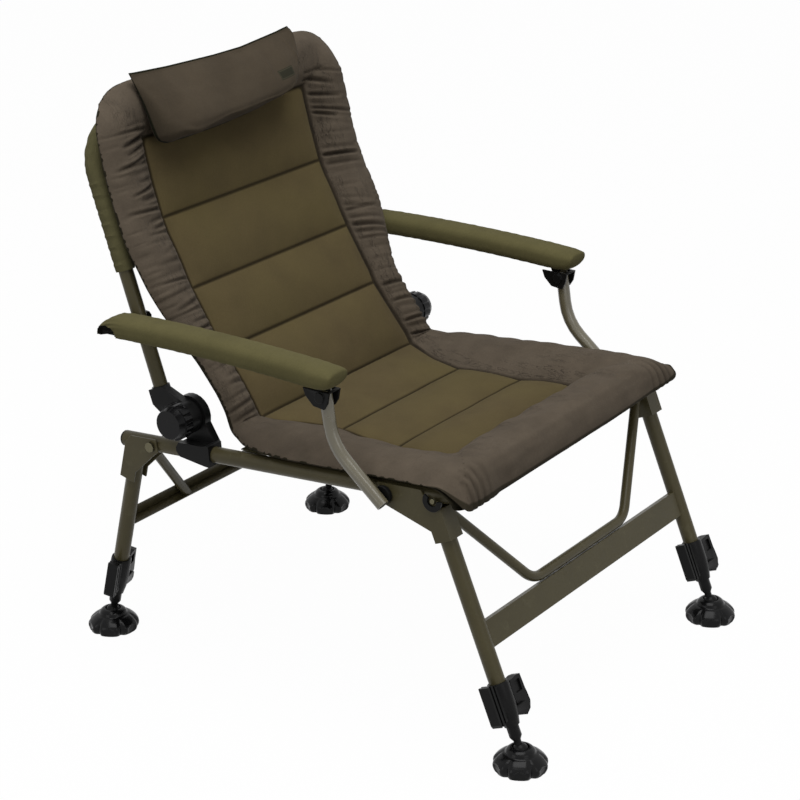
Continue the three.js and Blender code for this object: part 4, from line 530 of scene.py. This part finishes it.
def attribute_at(tree, name):
    """A piece's own named value at each point."""
    node = tree.nodes.new("ShaderNodeAttribute")
    node.attribute_name = name
    return node.outputs["Fac"]


def fact_layers(bm, names):
    """The mesh layers that hold those named values, made where they don't exist yet."""
    return [bm.verts.layers.float.get(name) or bm.verts.layers.float.new(name) for name in names]


arm_cloth, arm_tree, _ = cloth_material("armrest_cloth", (92, 87, 58), 0.1)
arm_stations = (0, 0.006, 0.014, 0.03, 0.055, 0.085, 0.12, 0.2, 0.5, 0.84, 0.90, 0.94, 0.97, 0.99, 1)
arm_places = (0.3030, 0.3024, 0.2995, 0.2940, 0.2850, 0.2740, 0.2600, 0.231, 0.110, -0.046, -0.0650, -0.0762,
              -0.0845, -0.0892, -0.0902)
arm_widths = (0.30, 0.52, 0.68, 0.84, 0.94, 0.98, 1, 1, 1, 1, 1, 0.99, 0.95, 0.88, 0.74)
arm_heights = (0.10, 0.24, 0.38, 0.58, 0.78, 0.92, 0.98, 1, 1, 1, 0.96, 0.88, 0.72, 0.48, 0.24)
arm_lift = (-0.0125, -0.0112, -0.0094, -0.0064, -0.0034, -0.0012, 0, 0, 0, 0, 0.0002, 0.0010, 0.0026, 0.0048, 0.0064)
arm_x, arm_level, arm_arch, arm_rear, arm_length = 0.2885, 0.4818, 0.0052, 0.3016, 0.3948
pad_half_width, pad_half_height = 0.0226, 0.0160
mouth_y, mouth_z = 0.2815, 0.4752
lining = spread(attribute_at(arm_tree, "lining"), 0.02, 0.12, 0, 1)
arm_shader = arm_tree.nodes["Principled BSDF"]
arm_nap = arm_shader.inputs["Base Color"].links[0].from_socket
wire(arm_shader, {"Base Color": mixed(lining, arm_nap, to_linear(22, 21, 18))})
for side, sign in sides.items():
    pad_bm = bmesh.new()
    layers = fact_layers(pad_bm, ["lining"])
    made, grid = new_grid(pad_bm, 80, 150)
    round_pad, share = (grid[:, 0] + 1) * pi, (1 - grid[:, 1]) / 2
    y, width, height, lift = (
        np.interp(share, arm_stations, row) for row in (arm_places, arm_widths, arm_heights, arm_lift))
    around, above = np.cos(round_pad), np.sin(round_pad)
    pleat = 1 - 0.035 * np.exp(-((share - 0.075) / 0.045) ** 2) * np.cos(15 * round_pad + 2 * np.sin(3 * round_pad))
    x = pad_half_width * width * pleat * np.sign(around) * np.abs(around) ** 0.72
    z = pad_half_height * height * pleat * np.sign(above) * np.abs(above) ** 0.74
    arch = arm_level + arm_arch * (1 - (2 * (arm_rear - y) / arm_length - 1) ** 2) + lift
    wrinkle = 1 + 0.016 * np.sin(y * 260 + 2.1 * around) * np.sin(y * 71 + above) + 0.01 * np.sin(y * 430 + 4 * above)
    z = arch + z * wrinkle
    opening = 1 - ((y - mouth_y) / 0.0195) ** 2 - ((z - mouth_z + 0.12 * (y - 0.28)) / 0.0112) ** 2
    opening = np.clip(opening, 0, 1) * (around > 0)
    x = x - 0.009 * smooth_step(opening * 2.2) + 0.0010 * np.exp(-((opening - 0.02) / 0.05) ** 2) * (opening > 0)
    moved_to(made, np.stack([sign * (arm_x + x), y, z], 1), layers, [opening])
    bmesh.ops.remove_doubles(pad_bm, verts=pad_bm.verts, dist=0.00005)
    bmesh.ops.holes_fill(pad_bm, edges=[e for e in pad_bm.edges if e.is_boundary], sides=0)
    bmesh.ops.recalc_face_normals(pad_bm, faces=pad_bm.faces)
    pad = placed_piece(pad_bm, f"arm_sleeve_{side}", arm_cloth, f"armrest_{side}",
                       [f"armrest_pad_{side}"], crease=60)
    core_line = [(sign * arm_x, -0.050, 0.4815), (sign * arm_x, 0.110, 0.4868), (sign * arm_x, 0.262, 0.4822)]
    core_bm = bent_tube(core_line, bend_radius=0.9, radius=0.0095, wall=tube_wall)
    placed_piece(core_bm, f"arm_core_{side}", black_nylon, f"armrest_{side}",
                 [f"armrest_core_{side}"])

# The mattress. Two layers of brushed cloth over foam and hollow fibre, quilted in channels across an olive
# middle, with a taupe border gathered round it, in one piece from the top of the back to the seat's front,
# where the border hangs down over the rail.

# Each row of the table: place, half width, half width of the middle, rise of the border, height of its
# edge, depth of the underside, how far that follows the sagging sheet, and its depth at the rails.


def back_row(level, up, half, under=0.005, inner=0.177, rise=0.021, edge=0.003):
    """A row on the back, at that level above the hoop's plane and that height."""
    place = on_back(0, level, up)
    return (place.y, place.z, half, inner, rise, edge, under, 0, 0)


def seat_row(run, level, half, inner):
    """A row on the seat, at that place along the rails and that level above them."""
    place = on_seat(0, run, level)
    return (place.y, place.z, half, inner, 0.037 - level, 0.018 - level, level + 0.0017, 1, level - 0.0118)


back_rows = (
    (0.0068, 0.448, 0.262), (0.0068, 0.434, 0.263), (0.0068, 0.4148, 0.264), (0.0068, 0.389, 0.265),
    (0.0075, 0.3736, 0.265), (0.0109, 0.3447, 0.265), (0.0133, 0.312, 0.265), (0.0136, 0.282, 0.265),
    (0.0136, 0.2589, 0.265), (0.0122, 0.2375, 0.265), (0.0061, 0.2077, 0.2637), (0.002, 0.178, 0.261),
    (-0.002, 0.157, 0.2576), (-0.0062, 0.1374, 0.2539), (-0.0123, 0.1108, 0.245, 0.009),
    (-0.0185, 0.086, 0.2385, 0.011), (-0.0252, 0.0671, 0.2345, 0.011), (-0.0336, 0.0424, 0.2332, 0.011),
    (-0.0426, 0.0177, 0.2332, 0.011), (-0.0504, -0.007, 0.2345, 0.012, 0.178, 0.018, 0.001),
    (-0.056, -0.0336, 0.2385, 0.014, 0.178, 0.013, -0.002),
)
seat_rows = (
    (0.0967, 0.0248, 0.252, 0.166), (0.0694, 0.0221, 0.2615, 0.152), (0.042, 0.0194, 0.2683, 0.144),
    (0.0156, 0.0167, 0.271, 0.140), (-0.0086, 0.0149, 0.271, 0.146), (-0.034, 0.0127, 0.271, 0.150),
    (-0.059, 0.0108, 0.271, 0.151), (-0.0823, 0.0097, 0.271, 0.150), (-0.102, 0.0095, 0.271, 0.155),
    (-0.1256, 0.0092, 0.271, 0.159), (-0.149, 0.0089, 0.271, 0.158), (-0.172, 0.0086, 0.271, 0.153),
    (-0.211, 0.0084, 0.271, 0.150), (-0.2426, 0.0081, 0.271, 0.150), (-0.266, 0.0081, 0.271, 0.150),
)
row_table = np.array([*(back_row(*row) for row in back_rows), *(seat_row(*row) for row in seat_rows)])
row_run = np.concatenate([[0], np.cumsum(np.hypot(np.diff(row_table[:, 0]), np.diff(row_table[:, 1])))])
mattress_run = row_run[-1]
cross_seams = [row_run[row] for row in (8, 12, 16, 20, 24, 28, 32)]
top_seam, front_seam = row_run[4] + 0.004, row_run[32]
bend_row = len(back_rows)
fine_run = np.linspace(0, mattress_run, 400)
fine_table = np.stack([np.interp(fine_run, row_run, column) for column in row_table.T], 1)
soften = np.exp(-np.linspace(-2, 2, 13) ** 2)
soften /= soften.sum()
for column in range(9):
    padded_column = np.pad(fine_table[:, column], 6, mode="reflect", reflect_type="odd")
    fine_table[:, column] = np.convolve(padded_column, soften, mode="valid")
fine_heading = np.gradient(fine_table[:, :2], axis=0)
fine_heading /= np.linalg.norm(fine_heading, axis=1)[:, None]

# The border's roll, from its seam to its edge, for the sides and top and for the lip over the front rail:
# how far out it is as a share of the border's width, and how high as a share of its rise.
roll_steps = (0, 0.08, 0.20, 0.36, 0.52, 0.66, 0.78, 0.88, 0.95, 1)
roll_out = (0, 0.03, 0.12, 0.28, 0.48, 0.66, 0.81, 0.93, 0.985, 1)
roll_up = (0, 0.09, 0.31, 0.66, 0.91, 1, 0.94, 0.72, 0.38, 0)
lip_out = (0, 0.04, 0.15, 0.35, 0.56, 0.74, 0.89, 0.975, 1, 0.975)
lip_up = (0, 0.30, 0.64, 0.91, 1, 0.985, 0.88, 0.55, 0.22, 0)
edge_part = (0, 0, 0, 0, 0, 0, 0, 0.12, 0.5, 1)
low_out = (0, 0.04, 0.15, 0.32, 0.50, 0.66, 0.79, 0.80, 0.86, 0.975)
low_part = (0, 0, 0, 0, 0, 0, 0.02, 0.5, 0.94, 1)
lip_drop = (-0.0215, -0.016, -0.009)
right_trim = (0, 0.008, 0.016, 0.019, 0.017, 0.015, 0.011, 0.005, 0)
trim_rows = (12, 14, 15, 16, 18, 19, 20, 21, 22)
top_part, bend_part, lip_part = 0.07, 0.62, 0.86
crown_height, sheet_dip, sheet_reach = 0.008, 0.0135, 0.244


def mattress_skin(bm, upper):
    """One skin of the mattress: a grid whose points are moved by their place along and across it."""
    layers = fact_layers(bm, ("run", "across", "border", "edge", "under", "mitre"))
    made, grid = new_grid(bm, 60, 280)
    sign = np.where(grid[:, 0] < 0, -1, 1)
    share, along = np.abs(grid[:, 0]), (1 - grid[:, 1]) / 2
    side = np.clip((share - 0.5) / 0.5, 0, 1)
    top = np.clip(1 - along / top_part, 0, 1)
    front = np.clip((along - lip_part) / (1 - lip_part), 0, 1)
    end = np.maximum(top, front)
    rolled = np.maximum(side, end)
    power = np.where(front > 0, np.where(grid[:, 0] < 0, 6.5, 9), 2.3)
    mitre = np.where(front > 0, np.abs(side - end), 1)
    rounding = rolled / np.maximum((side ** power + end ** power) ** (1 / power), 1e-9)
    side, end = side * rounding, end * rounding
    out_steps = lip_out if upper else low_out
    end_out = np.where(front > 0, np.interp(end, roll_steps, out_steps), np.interp(end, roll_steps, roll_out))
    run = np.interp(along, (top_part, bend_part, lip_part), (top_seam, row_run[bend_row], front_seam))
    run = np.where(top > 0, top_seam * (1 - end_out), run)
    run = np.where(front > 0, front_seam + (mattress_run - front_seam) * end_out, run)
    y, z, half, inner, rise, edge, under, sag, side_under = (
        np.interp(run, fine_run, fine_table[:, column]) for column in range(9))
    heading_y, heading_z = (np.interp(run, fine_run, fine_heading[:, axis]) for axis in (0, 1))
    length = np.hypot(heading_y, heading_z)
    half = half - np.interp(run, row_run[list(trim_rows)], right_trim) * (grid[:, 0] > 0)
    inner = np.minimum(inner, half * 0.8)
    x = np.where(share < 0.5, inner * share / 0.5,
                 inner + (half - inner) * np.interp(side, roll_steps, roll_out))
    border = np.maximum.reduce([x - inner, top_seam - run, run - front_seam])
    lean = smooth_step((end - side) / 0.5 + 0.5) * (front > 0)
    droop_from = np.where(grid[:, 0] < 0, 0.5, 0.78)
    drop = np.maximum(lean, smooth_step((end - droop_from) / (1 - droop_from)) * (front > 0))
    edge = edge * (1 - drop) + np.interp(grid[:, 0], (-1, 0.3, 1), lip_drop) * drop
    rise = rise * (1 - 0.3 * smooth_step(side * end) * (front > 0))
    if upper:
        rise_part = (np.interp(rolled, roll_steps, roll_up) * (1 - lean)
                     + np.interp(rolled, roll_steps, lip_up) * lean)
        edge_share = np.interp(rolled, roll_steps, edge_part)
        seams = [top_seam, *cross_seams]
        place = np.zeros(len(run))
        for start, stop in zip(seams[:-1], seams[1:]):
            inside = (run >= start) & (run <= stop)
            place[inside] = (run[inside] - start) / (stop - start)
        crown = crown_height * (1 - np.abs(2 * place - 1) ** 3) * (1 - np.clip(x / inner, 0, 1) ** 10)
        height = np.where(rolled > 0, rise * rise_part * (1 - edge_share) + edge * edge_share, crown)
    else:
        edge_share = np.interp(rolled, roll_steps, low_part)
        depth = under - sheet_dip * sag * np.minimum(1, x / sheet_reach) ** 2
        over_rail = smooth_step((end_out - 0.15) / 0.37) * (front > 0)
        depth = depth + (side_under - depth) * over_rail
        height = -depth * (1 - edge_share) + edge * edge_share
    points = np.stack([x * sign, y + heading_z / length * height, z - heading_y / length * height], 1)
    facts = (run, grid[:, 0], border, rolled, np.full(len(run), 0.0 if upper else 1.0), mitre)
    moved_to(made, points, layers, facts)


mattress_bm = bmesh.new()
for upper in (True, False):
    mattress_skin(mattress_bm, upper)
closed_up(mattress_bm, 0.0002)
mattress_cloth, mattress_tree, middle_cloth = cloth_material("mattress_cloth", (88, 77, 54), 0.1)
border_cloth = mattress_tree.nodes.new("ShaderNodeGroup")
border_cloth.node_tree = brushed_cloth
wire(border_cloth, {"Colour": to_linear(88, 79, 68), "Patch Depth": 0.14, "Patch Scale": 22})
fact = partial(attribute_at, mattress_tree)
border_at, run_at = fact("border"), fact("run")
in_border = spread(border_at, -0.0005, 0.0005, 0, 1)

# Fine creases that run out from the inner seam: thin contours of a noise stretched across the border. They give the
# cloth its bump and also darken its colour as painted shade.
crease_place = fed_node("CombineXYZ", {0: run_at, 1: times(border_at, 0.24), 2: fact("across")}).outputs[0]
crease_gap = size_of(minus(noise_at(crease_place, 62, 2), 0.5))
crease_patch = spread(noise_at(crease_place, 17, 2), 0.46, 0.6, 0, 1)
crease_line = times(spread(crease_gap, 0, 0.035, 1, 0), crease_patch)
crease_line = times(times(crease_line, spread(border_at, 0.012, 0.075, 1, 0)), in_border)

# The seams: one across the middle at each channel, one round it, and one at each corner of the border.
seam_gap = 1.0
for seam_run in cross_seams:
    seam_gap = smaller(seam_gap, size_of(minus(run_at, seam_run)))
line_seam = times(spread(seam_gap, 0.0009, 0.0034, 1, 0), minus(1.0, in_border))
ring_seam = spread(size_of(border_at), 0.0009, 0.0036, 1, 0)
sunk = larger(ring_seam, line_seam)
mitre_seam = times(spread(fact("mitre"), 0.006, 0.022, 1, 0), in_border)
base_side = spread(fact("under"), 0.35, 0.4, 0, 1)
on_lip = spread(run_at, front_seam + 0.035, front_seam + 0.05, 0, 0.018)
edge_seam = spread(plus(fact("edge"), on_lip), 0.98, 0.99, 0, 1)

# The colours: the middle's slow change of hue, then painted shade in the folds and creases, then the seams and the
# base, each darker.
nap_place = mattress_tree.nodes.new("ShaderNodeTexCoord").outputs["Object"]
slow_hue = spread(noise_at(nap_place, 7, 2), 0.35, 0.65, 0, 1)
hue_share = times(slow_hue, minus(0.3, times(in_border, 0.3)))
# Painted shade: the folds and creases darken the cloth's colour where shade would fall in them.
fold_shade_share = larger(times(fact("fold"), 0.8), times(crease_line, 0.35))
base_share = larger(base_side, times(edge_seam, 0.85))
shaded = mixed(in_border, middle_cloth.outputs["Colour"], border_cloth.outputs["Colour"])
# The first darker colour below is the painted shade of the folds and creases.
for share, colour in (
    (hue_share, to_linear(94, 86, 52)), (fold_shade_share, to_linear(44, 38, 31)),
    (times(mitre_seam, 0.45), to_linear(44, 38, 31)), (times(sunk, 0.8), to_linear(30, 25, 16)),
    (base_share, to_linear(40, 37, 27)),
):
    shaded = mixed(share, shaded, colour)
mattress_shader = wire(mattress_tree.nodes["Principled BSDF"], {"Base Color": shaded})
nap_bump = mattress_shader.inputs["Normal"].links[0].from_node
wire(nap_bump, {"Normal": relief(minus(1.0, crease_line), 0.0016, 0.8)})

mattress = placed_piece(mattress_bm, "mattress", mattress_cloth, None,
                        ["seat_mattress", "lumbar_mattress", "back_mattress"], crease=180)


def point_array(mesh, attribute="co"):
    """A mesh's points, or their normals, as rows of three."""
    values = np.empty(len(mesh.vertices) * 3)
    mesh.vertices.foreach_get(attribute, values)
    return values.reshape(-1, 3)


def reshape(piece, points):
    """Moves a piece's points to their new places."""
    piece.data.vertices.foreach_set("co", points.ravel())
    piece.data.update()


def layer_values(piece, name):
    """A named value of each point."""
    values = np.empty(len(piece.data.vertices))
    piece.data.attributes[name].data.foreach_get("value", values)
    return values


def swollen(piece, pins, pressure, cap, slack_share=0.0, slack_points=None):
    """Blows a cushion up by cloth simulation between its pinned seams, and holds each point within the cap."""
    rest = point_array(piece.data)
    pinned = piece.vertex_groups.new(name="pinned")
    for index in np.flatnonzero(pins > 0):
        pinned.add([int(index)], float(pins[index]), "REPLACE")
    cloth = piece.modifiers.new("cloth", "CLOTH")
    for label, setting in (
        ("use_pressure", True), ("uniform_pressure_force", pressure), ("vertex_group_mass", "pinned"),
        ("quality", 6), ("tension_stiffness", 15), ("compression_stiffness", 15), ("bending_stiffness", 0.5),
    ):
        setattr(cloth.settings, label, setting)
    cloth.settings.effector_weights.gravity = 0
    if slack_points is not None:
        slack = piece.vertex_groups.new(name="slack")
        slack.add([int(index) for index in np.flatnonzero(slack_points)], 1.0, "REPLACE")
        cloth.settings.vertex_group_shrink = "slack"
        cloth.settings.shrink_min = 0
        cloth.settings.shrink_max = -slack_share
    for step in range(1, 21):
        scene.frame_set(step)
    moved = point_array(piece.evaluated_get(bpy.context.evaluated_depsgraph_get()).data)
    step = np.where(np.isfinite(moved), moved, rest) - rest
    length = np.linalg.norm(step, axis=1)
    step *= (np.minimum(length, cap) / np.maximum(length, 1e-9))[:, None]
    piece.modifiers.remove(cloth)
    scene.frame_set(1)
    reshape(piece, rest + step)
    piece.vertex_groups.clear()


def refined(piece):
    """Subdivides a piece once more and keeps the result as its mesh."""
    smoothing = piece.modifiers.new("refine", "SUBSURF")
    smoothing.levels = 1
    smoothing.render_levels = 1
    with bpy.context.temp_override(object=piece, active_object=piece):
        bpy.ops.object.modifier_apply(modifier=smoothing.name)
    piece.data.shade_smooth()


border, run, under = (layer_values(mattress, name) for name in ("border", "run", "under"))
off_seam = np.min([np.abs(run - seam) for seam in cross_seams], axis=0)
pins = ((np.abs(border) < 0.004) | ((off_seam < 0.002) & (border <= 0)) | (under > 0.5)).astype(float)
reach = np.where(run > front_seam - 0.02, 0.0025, 0.006)
swollen(mattress, pins, 4.0, reach, 0.04, (border > 0.006) & (under < 0.5) & (run < front_seam - 0.04))
refined(mattress)

# Gathers of the border, as pulled in by its seam: place up the back and depth, both in millimetres, first
# for the chair's left and then for its right, where they slant.
left_gathers = (
    (393, 1.2), (382, 1.8), (373, 3.2), (362, 2.4), (348, 2.6), (339, 2.0), (328, 1.2), (316, 1.8), (306, 2.6),
    (291, 2.3), (282, 1.2), (273, 2.4), (262, 2.0), (252, 2.4), (240, 1.6), (228, 1.0), (219, 1.4), (209, 0.9),
    (200, 1.5), (186, 1.0), (172, 2.0), (160, 1.6), (152, 1.0), (144, 2.2), (130, 1.6), (115, 2.0), (104, 2.3),
    (93, 1.2), (85, 1.8), (74, 1.0), (62, 1.5), (50, 2.0), (35, 1.6), (21, 2.0), (8, 1.4), (-4, 2.0), (-18, 1.8))
right_gathers = (
    (392, 1.5), (380, 2.6), (366, 1.2), (357, 2.8), (345, 1.8), (337, 2.4), (330, 2.6), (316, 0.8), (298, 0.8),
    (276, 1.4), (265, 3.0), (251, 1.8), (236, 0.8), (216, 1.0), (200, 1.0), (188, 1.6), (178, 2.0), (167, 1.8),
    (156, 2.6), (145, 1.8), (133, 1.6), (118, 0.9), (100, 1.0), (82, 1.2), (68, 1.1), (59, 2.7), (44, 1.0),
    (33, 2.3), (24, 1.2), (9, 1.0), (0, 2.4), (-8, 1.4), (-20, 2.8))
fine_up = ((fine_table[:, 0] - recliner_axis.y) * sin(back_lean)
           + (fine_table[:, 1] - recliner_axis.z) * cos(back_lean))
on_the_back = slice(0, int(np.searchsorted(fine_run, row_run[bend_row])))
border, run, under, edge, across_at = (
    layer_values(mattress, name) for name in ("border", "run", "under", "edge", "across"))
off_seam = np.min([np.abs(run - seam) for seam in cross_seams], axis=0)
top_side = under < 0.45
rise = -0.0020 * np.exp(-(border / 0.0022) ** 2) * top_side
rise -= 0.0017 * np.exp(-(off_seam / 0.0020) ** 2) * (border < 0) * top_side
# How much painted shade each point gets in the folds and tucks, kept as the fold attribute for the cloth's colour.
painted_fold_shade = np.zeros(len(run))
dice = np.random.default_rng(11)
border_width, mean_mm = 0.088, 2.3
side_border = np.clip(border / border_width, 0, 1.2) * (np.abs(across_at) > 0.5)


def waves(places, count, stretch, slowest, fastest):
    """Slow waves that run in random directions through the filling, added up at each point."""
    total = np.zeros(len(places))
    for _ in range(count):
        wave = dice.normal(size=3) * stretch
        wave *= dice.uniform(slowest, fastest) / np.linalg.norm(wave)
        total += np.sin(places @ wave + dice.uniform(0, 2 * pi))
    return total


def gathered(at_run, depth, sign, reach, width, slant):
    """The rise and fall of one fold that starts at the inner seam and dies away into the border."""
    away = (run - at_run - slant * np.maximum(border, 0)) / width
    shape = -np.exp(-np.abs(away) ** 1.35) + 0.4 * np.exp(-((np.abs(away) - 2.0) / 0.9) ** 2)
    fade = np.clip(1 - side_border / reach, 0, 1) ** 0.5 * smooth_step((side_border - 0.01) / 0.13)
    return depth * shape * fade * (np.sign(across_at) == sign) * top_side * (border > 0)


for sign, gathers, slant in ((-1, left_gathers, 0.05), (1, right_gathers, 0.28)):
    for up_mm, listed_mm in gathers:
        depth_mm = mean_mm * (listed_mm / mean_mm) ** 1.7
        at_run = np.interp(-up_mm / 1000, -fine_up[on_the_back], fine_run[on_the_back])
        fold = gathered(at_run, depth_mm / 560, sign, dice.uniform(0.45, 1.1), dice.uniform(0.0019, 0.0030),
                        slant + dice.uniform(-0.12, 0.12))
        rise += fold
        # Painted shade along each fold's valley and beside the seam.
        dark = -gathered(at_run, 1, sign, 0.8, 0.0026, slant)
        near = smooth_step(1 - side_border / 0.35) * depth_mm / 3.2
        painted_fold_shade = np.maximum(painted_fold_shade, np.clip(np.maximum(-fold / 0.0028, dark * near), 0, 1))
        if depth_mm < 2.1:
            outer = np.exp(-((edge - 0.82) / 0.10) ** 2)
            away = (run - at_run - dice.uniform(0.004, 0.012)) / dice.uniform(0.002, 0.003)
            rise -= 0.0010 * np.exp(-away ** 2) * outer * (np.sign(across_at) == sign) * top_side

# Slow uneven waves in the filling, and four tucks at each corner of the lip, each with painted shade in it.
places = point_array(mattress.data)
amount = 0.00022 * smooth_step((border + 0.002) / 0.02) * (1 - smooth_step((edge - 0.88) / 0.08)) + 0.00006
rise += amount * waves(places, 14, 1, 60, 210) * top_side
lip_corner, tuck_width = 0.262, 0.0032
for sign in (-1, 1):
    for from_corner, depth_mm in ((0.012, 1.4), (0.024, 1.9), (0.037, 1.5), (0.052, 0.9)):
        away = (places[:, 0] * sign - (lip_corner - from_corner)) / tuck_width
        tuck = np.exp(-away ** 2) * smooth_step((run - front_seam - 0.062) / 0.02) * top_side
        rise -= depth_mm / 1000 * tuck
        # Painted shade in each tuck.
        painted_fold_shade = np.maximum(painted_fold_shade, 0.45 * depth_mm * tuck)
heading = np.stack([np.interp(run, fine_run, fine_heading[:, axis]) for axis in (0, 1)], 1)
straight_up = np.stack([np.zeros(len(run)), heading[:, 1], -heading[:, 0]], 1)
outward = smooth_step((border - 0.010) / 0.03)[:, None]
push = straight_up * (1 - outward) + point_array(mattress.data, "normal") * outward
push /= np.linalg.norm(push, axis=1)[:, None]
# The painted shade of the folds and tucks goes to the cloth's colour as the fold attribute.
mattress.data.attributes.new("fold", "FLOAT", "POINT").data.foreach_set("value", painted_fold_shade)
reshape(mattress, places + push * rise[:, None])
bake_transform(mattress)

# The head pillow. A fibre-filled bolster in the border cloth, held to the back by a strap behind it, with a
# hem along its top and a small plain patch stitched to its front.
patch_x, patch_height, patch_half_width, patch_half_height = 0.086, 0.3965, 0.0175, 0.0070
patch_tilt, base_level, pillow_depth = radians(3), -0.0158, 0.0425
pillow_bm = bmesh.new()
for upper in (True, False):
    layers = fact_layers(pillow_bm, ("rim", "patch_across", "patch_up"))
    made, grid = new_grid(pillow_bm, 64, 26)
    u = np.sign(grid[:, 0]) * np.abs(grid[:, 0]) ** 0.85
    v = (1 - grid[:, 1]) / 2
    v = v - 0.08 * np.sin(2 * pi * v)
    left = np.interp(v, (0, 0.14, 0.3, 0.5, 0.78, 0.93, 1), (-0.193, -0.190, -0.187, -0.184, -0.182, -0.179, -0.172))
    right = np.interp(v, (0, 0.14, 0.45, 0.75, 0.92, 1), (0.153, 0.160, 0.151, 0.134, 0.124, 0.112))
    x = left + (right - left) * (u + 1) / 2
    top_up = np.interp(u, (-1, -0.94, -0.55, 0, 0.35, 0.8, 0.94, 1),
                       (0.4575, 0.4565, 0.4525, 0.4495, 0.4495, 0.4555, 0.4580, 0.4590))
    bottom_up = np.interp(u, (-1, -0.9, -0.6, 0, 0.4, 0.8, 1), (0.359, 0.353, 0.352, 0.354, 0.358, 0.366, 0.374))
    up = top_up + (bottom_up - top_up) * v
    bulge = np.interp(v, (0, 0.06, 0.2, 0.42, 0.64, 0.8, 0.9, 0.96, 0.985, 1),
                      (0, 0.13, 0.40, 0.72, 0.93, 1, 0.93, 0.72, 0.44, 0))
    round_ends = (1 - np.abs(u) ** np.where(u < 0, 9, 8)) ** 0.5
    bulge = bulge * round_ends * (1 - 0.12 * np.clip(u, 0, 1))
    level = base_level - pillow_depth * bulge * upper
    rim = np.minimum.reduce([v * 0.1, (1 - v) * 0.3, (1 - np.abs(u)) * 0.45])
    patch_across = (x - patch_x) * cos(patch_tilt) + (up - patch_height) * sin(patch_tilt)
    patch_up = (up - patch_height) * cos(patch_tilt) - (x - patch_x) * sin(patch_tilt) + (0 if upper else 1)
    points = [on_back(*place) for place in zip(x, level, up)]
    moved_to(made, points, layers, (rim, patch_across, patch_up))
closed_up(pillow_bm, 0.0002)

pillow_cloth, pillow_tree, pillow_nap = cloth_material("pillow_cloth", (70, 62, 51), 0.16)
wire(pillow_nap, {"Patch Scale": 9})
fact = partial(attribute_at, pillow_tree)
hem = spread(fact("rim"), 0.0022, 0.0036, 1, 0)
off_patch = larger(minus(size_of(fact("patch_across")), patch_half_width),
                   minus(size_of(fact("patch_up")), patch_half_height))
on_patch = spread(off_patch, -0.0002, 0.0004, 1, 0)
stitch_ring = spread(size_of(plus(off_patch, 0.0014)), 0.0003, 0.0007, 1, 0)
patch_colour = mixed(times(stitch_ring, 0.5), to_linear(46, 45, 36), to_linear(84, 80, 64))
pillow_shade = mixed(on_patch, mixed(hem, pillow_nap.outputs["Colour"], to_linear(30, 31, 20)), patch_colour)
wire(pillow_tree.nodes["Principled BSDF"], {"Base Color": pillow_shade})
pillow = placed_piece(pillow_bm, "head_bolster", pillow_cloth, "back", ["head_pillow"], crease=180)
swollen(pillow, (layer_values(pillow, "rim") < 0.001).astype(float), 3.0, 0.0035)
refined(pillow)
places = point_array(pillow.data)
rim = layer_values(pillow, "rim")
rise = -0.0007 * np.exp(-((rim - 0.0035) / 0.0012) ** 2)
height = (places - np.array(recliner_axis)) @ np.array((0, sin(back_lean), cos(back_lean)))
rise += 0.00035 * waves(places, 10, (1.6, 1, 0.7), 35, 150) * smooth_step(rim / 0.012)
for crease_x, crease_up, length, depth, lean in (
    (0.058, 0.408, 0.016, 0.0013, 0.25), (0.129, 0.425, 0.022, 0.0016, -0.1), (0.118, 0.392, 0.014, 0.0012, 0.3),
    (-0.163, 0.40, 0.020, 0.0010, 0.2), (-0.02, 0.43, 0.012, 0.0008, 0.1),
):
    away = (places[:, 0] - crease_x - lean * (height - crease_up)) / 0.0028
    rise -= depth * np.exp(-away ** 2 - ((height - crease_up) / length) ** 2)
reshape(pillow, places + point_array(pillow.data, "normal") * rise[:, None])
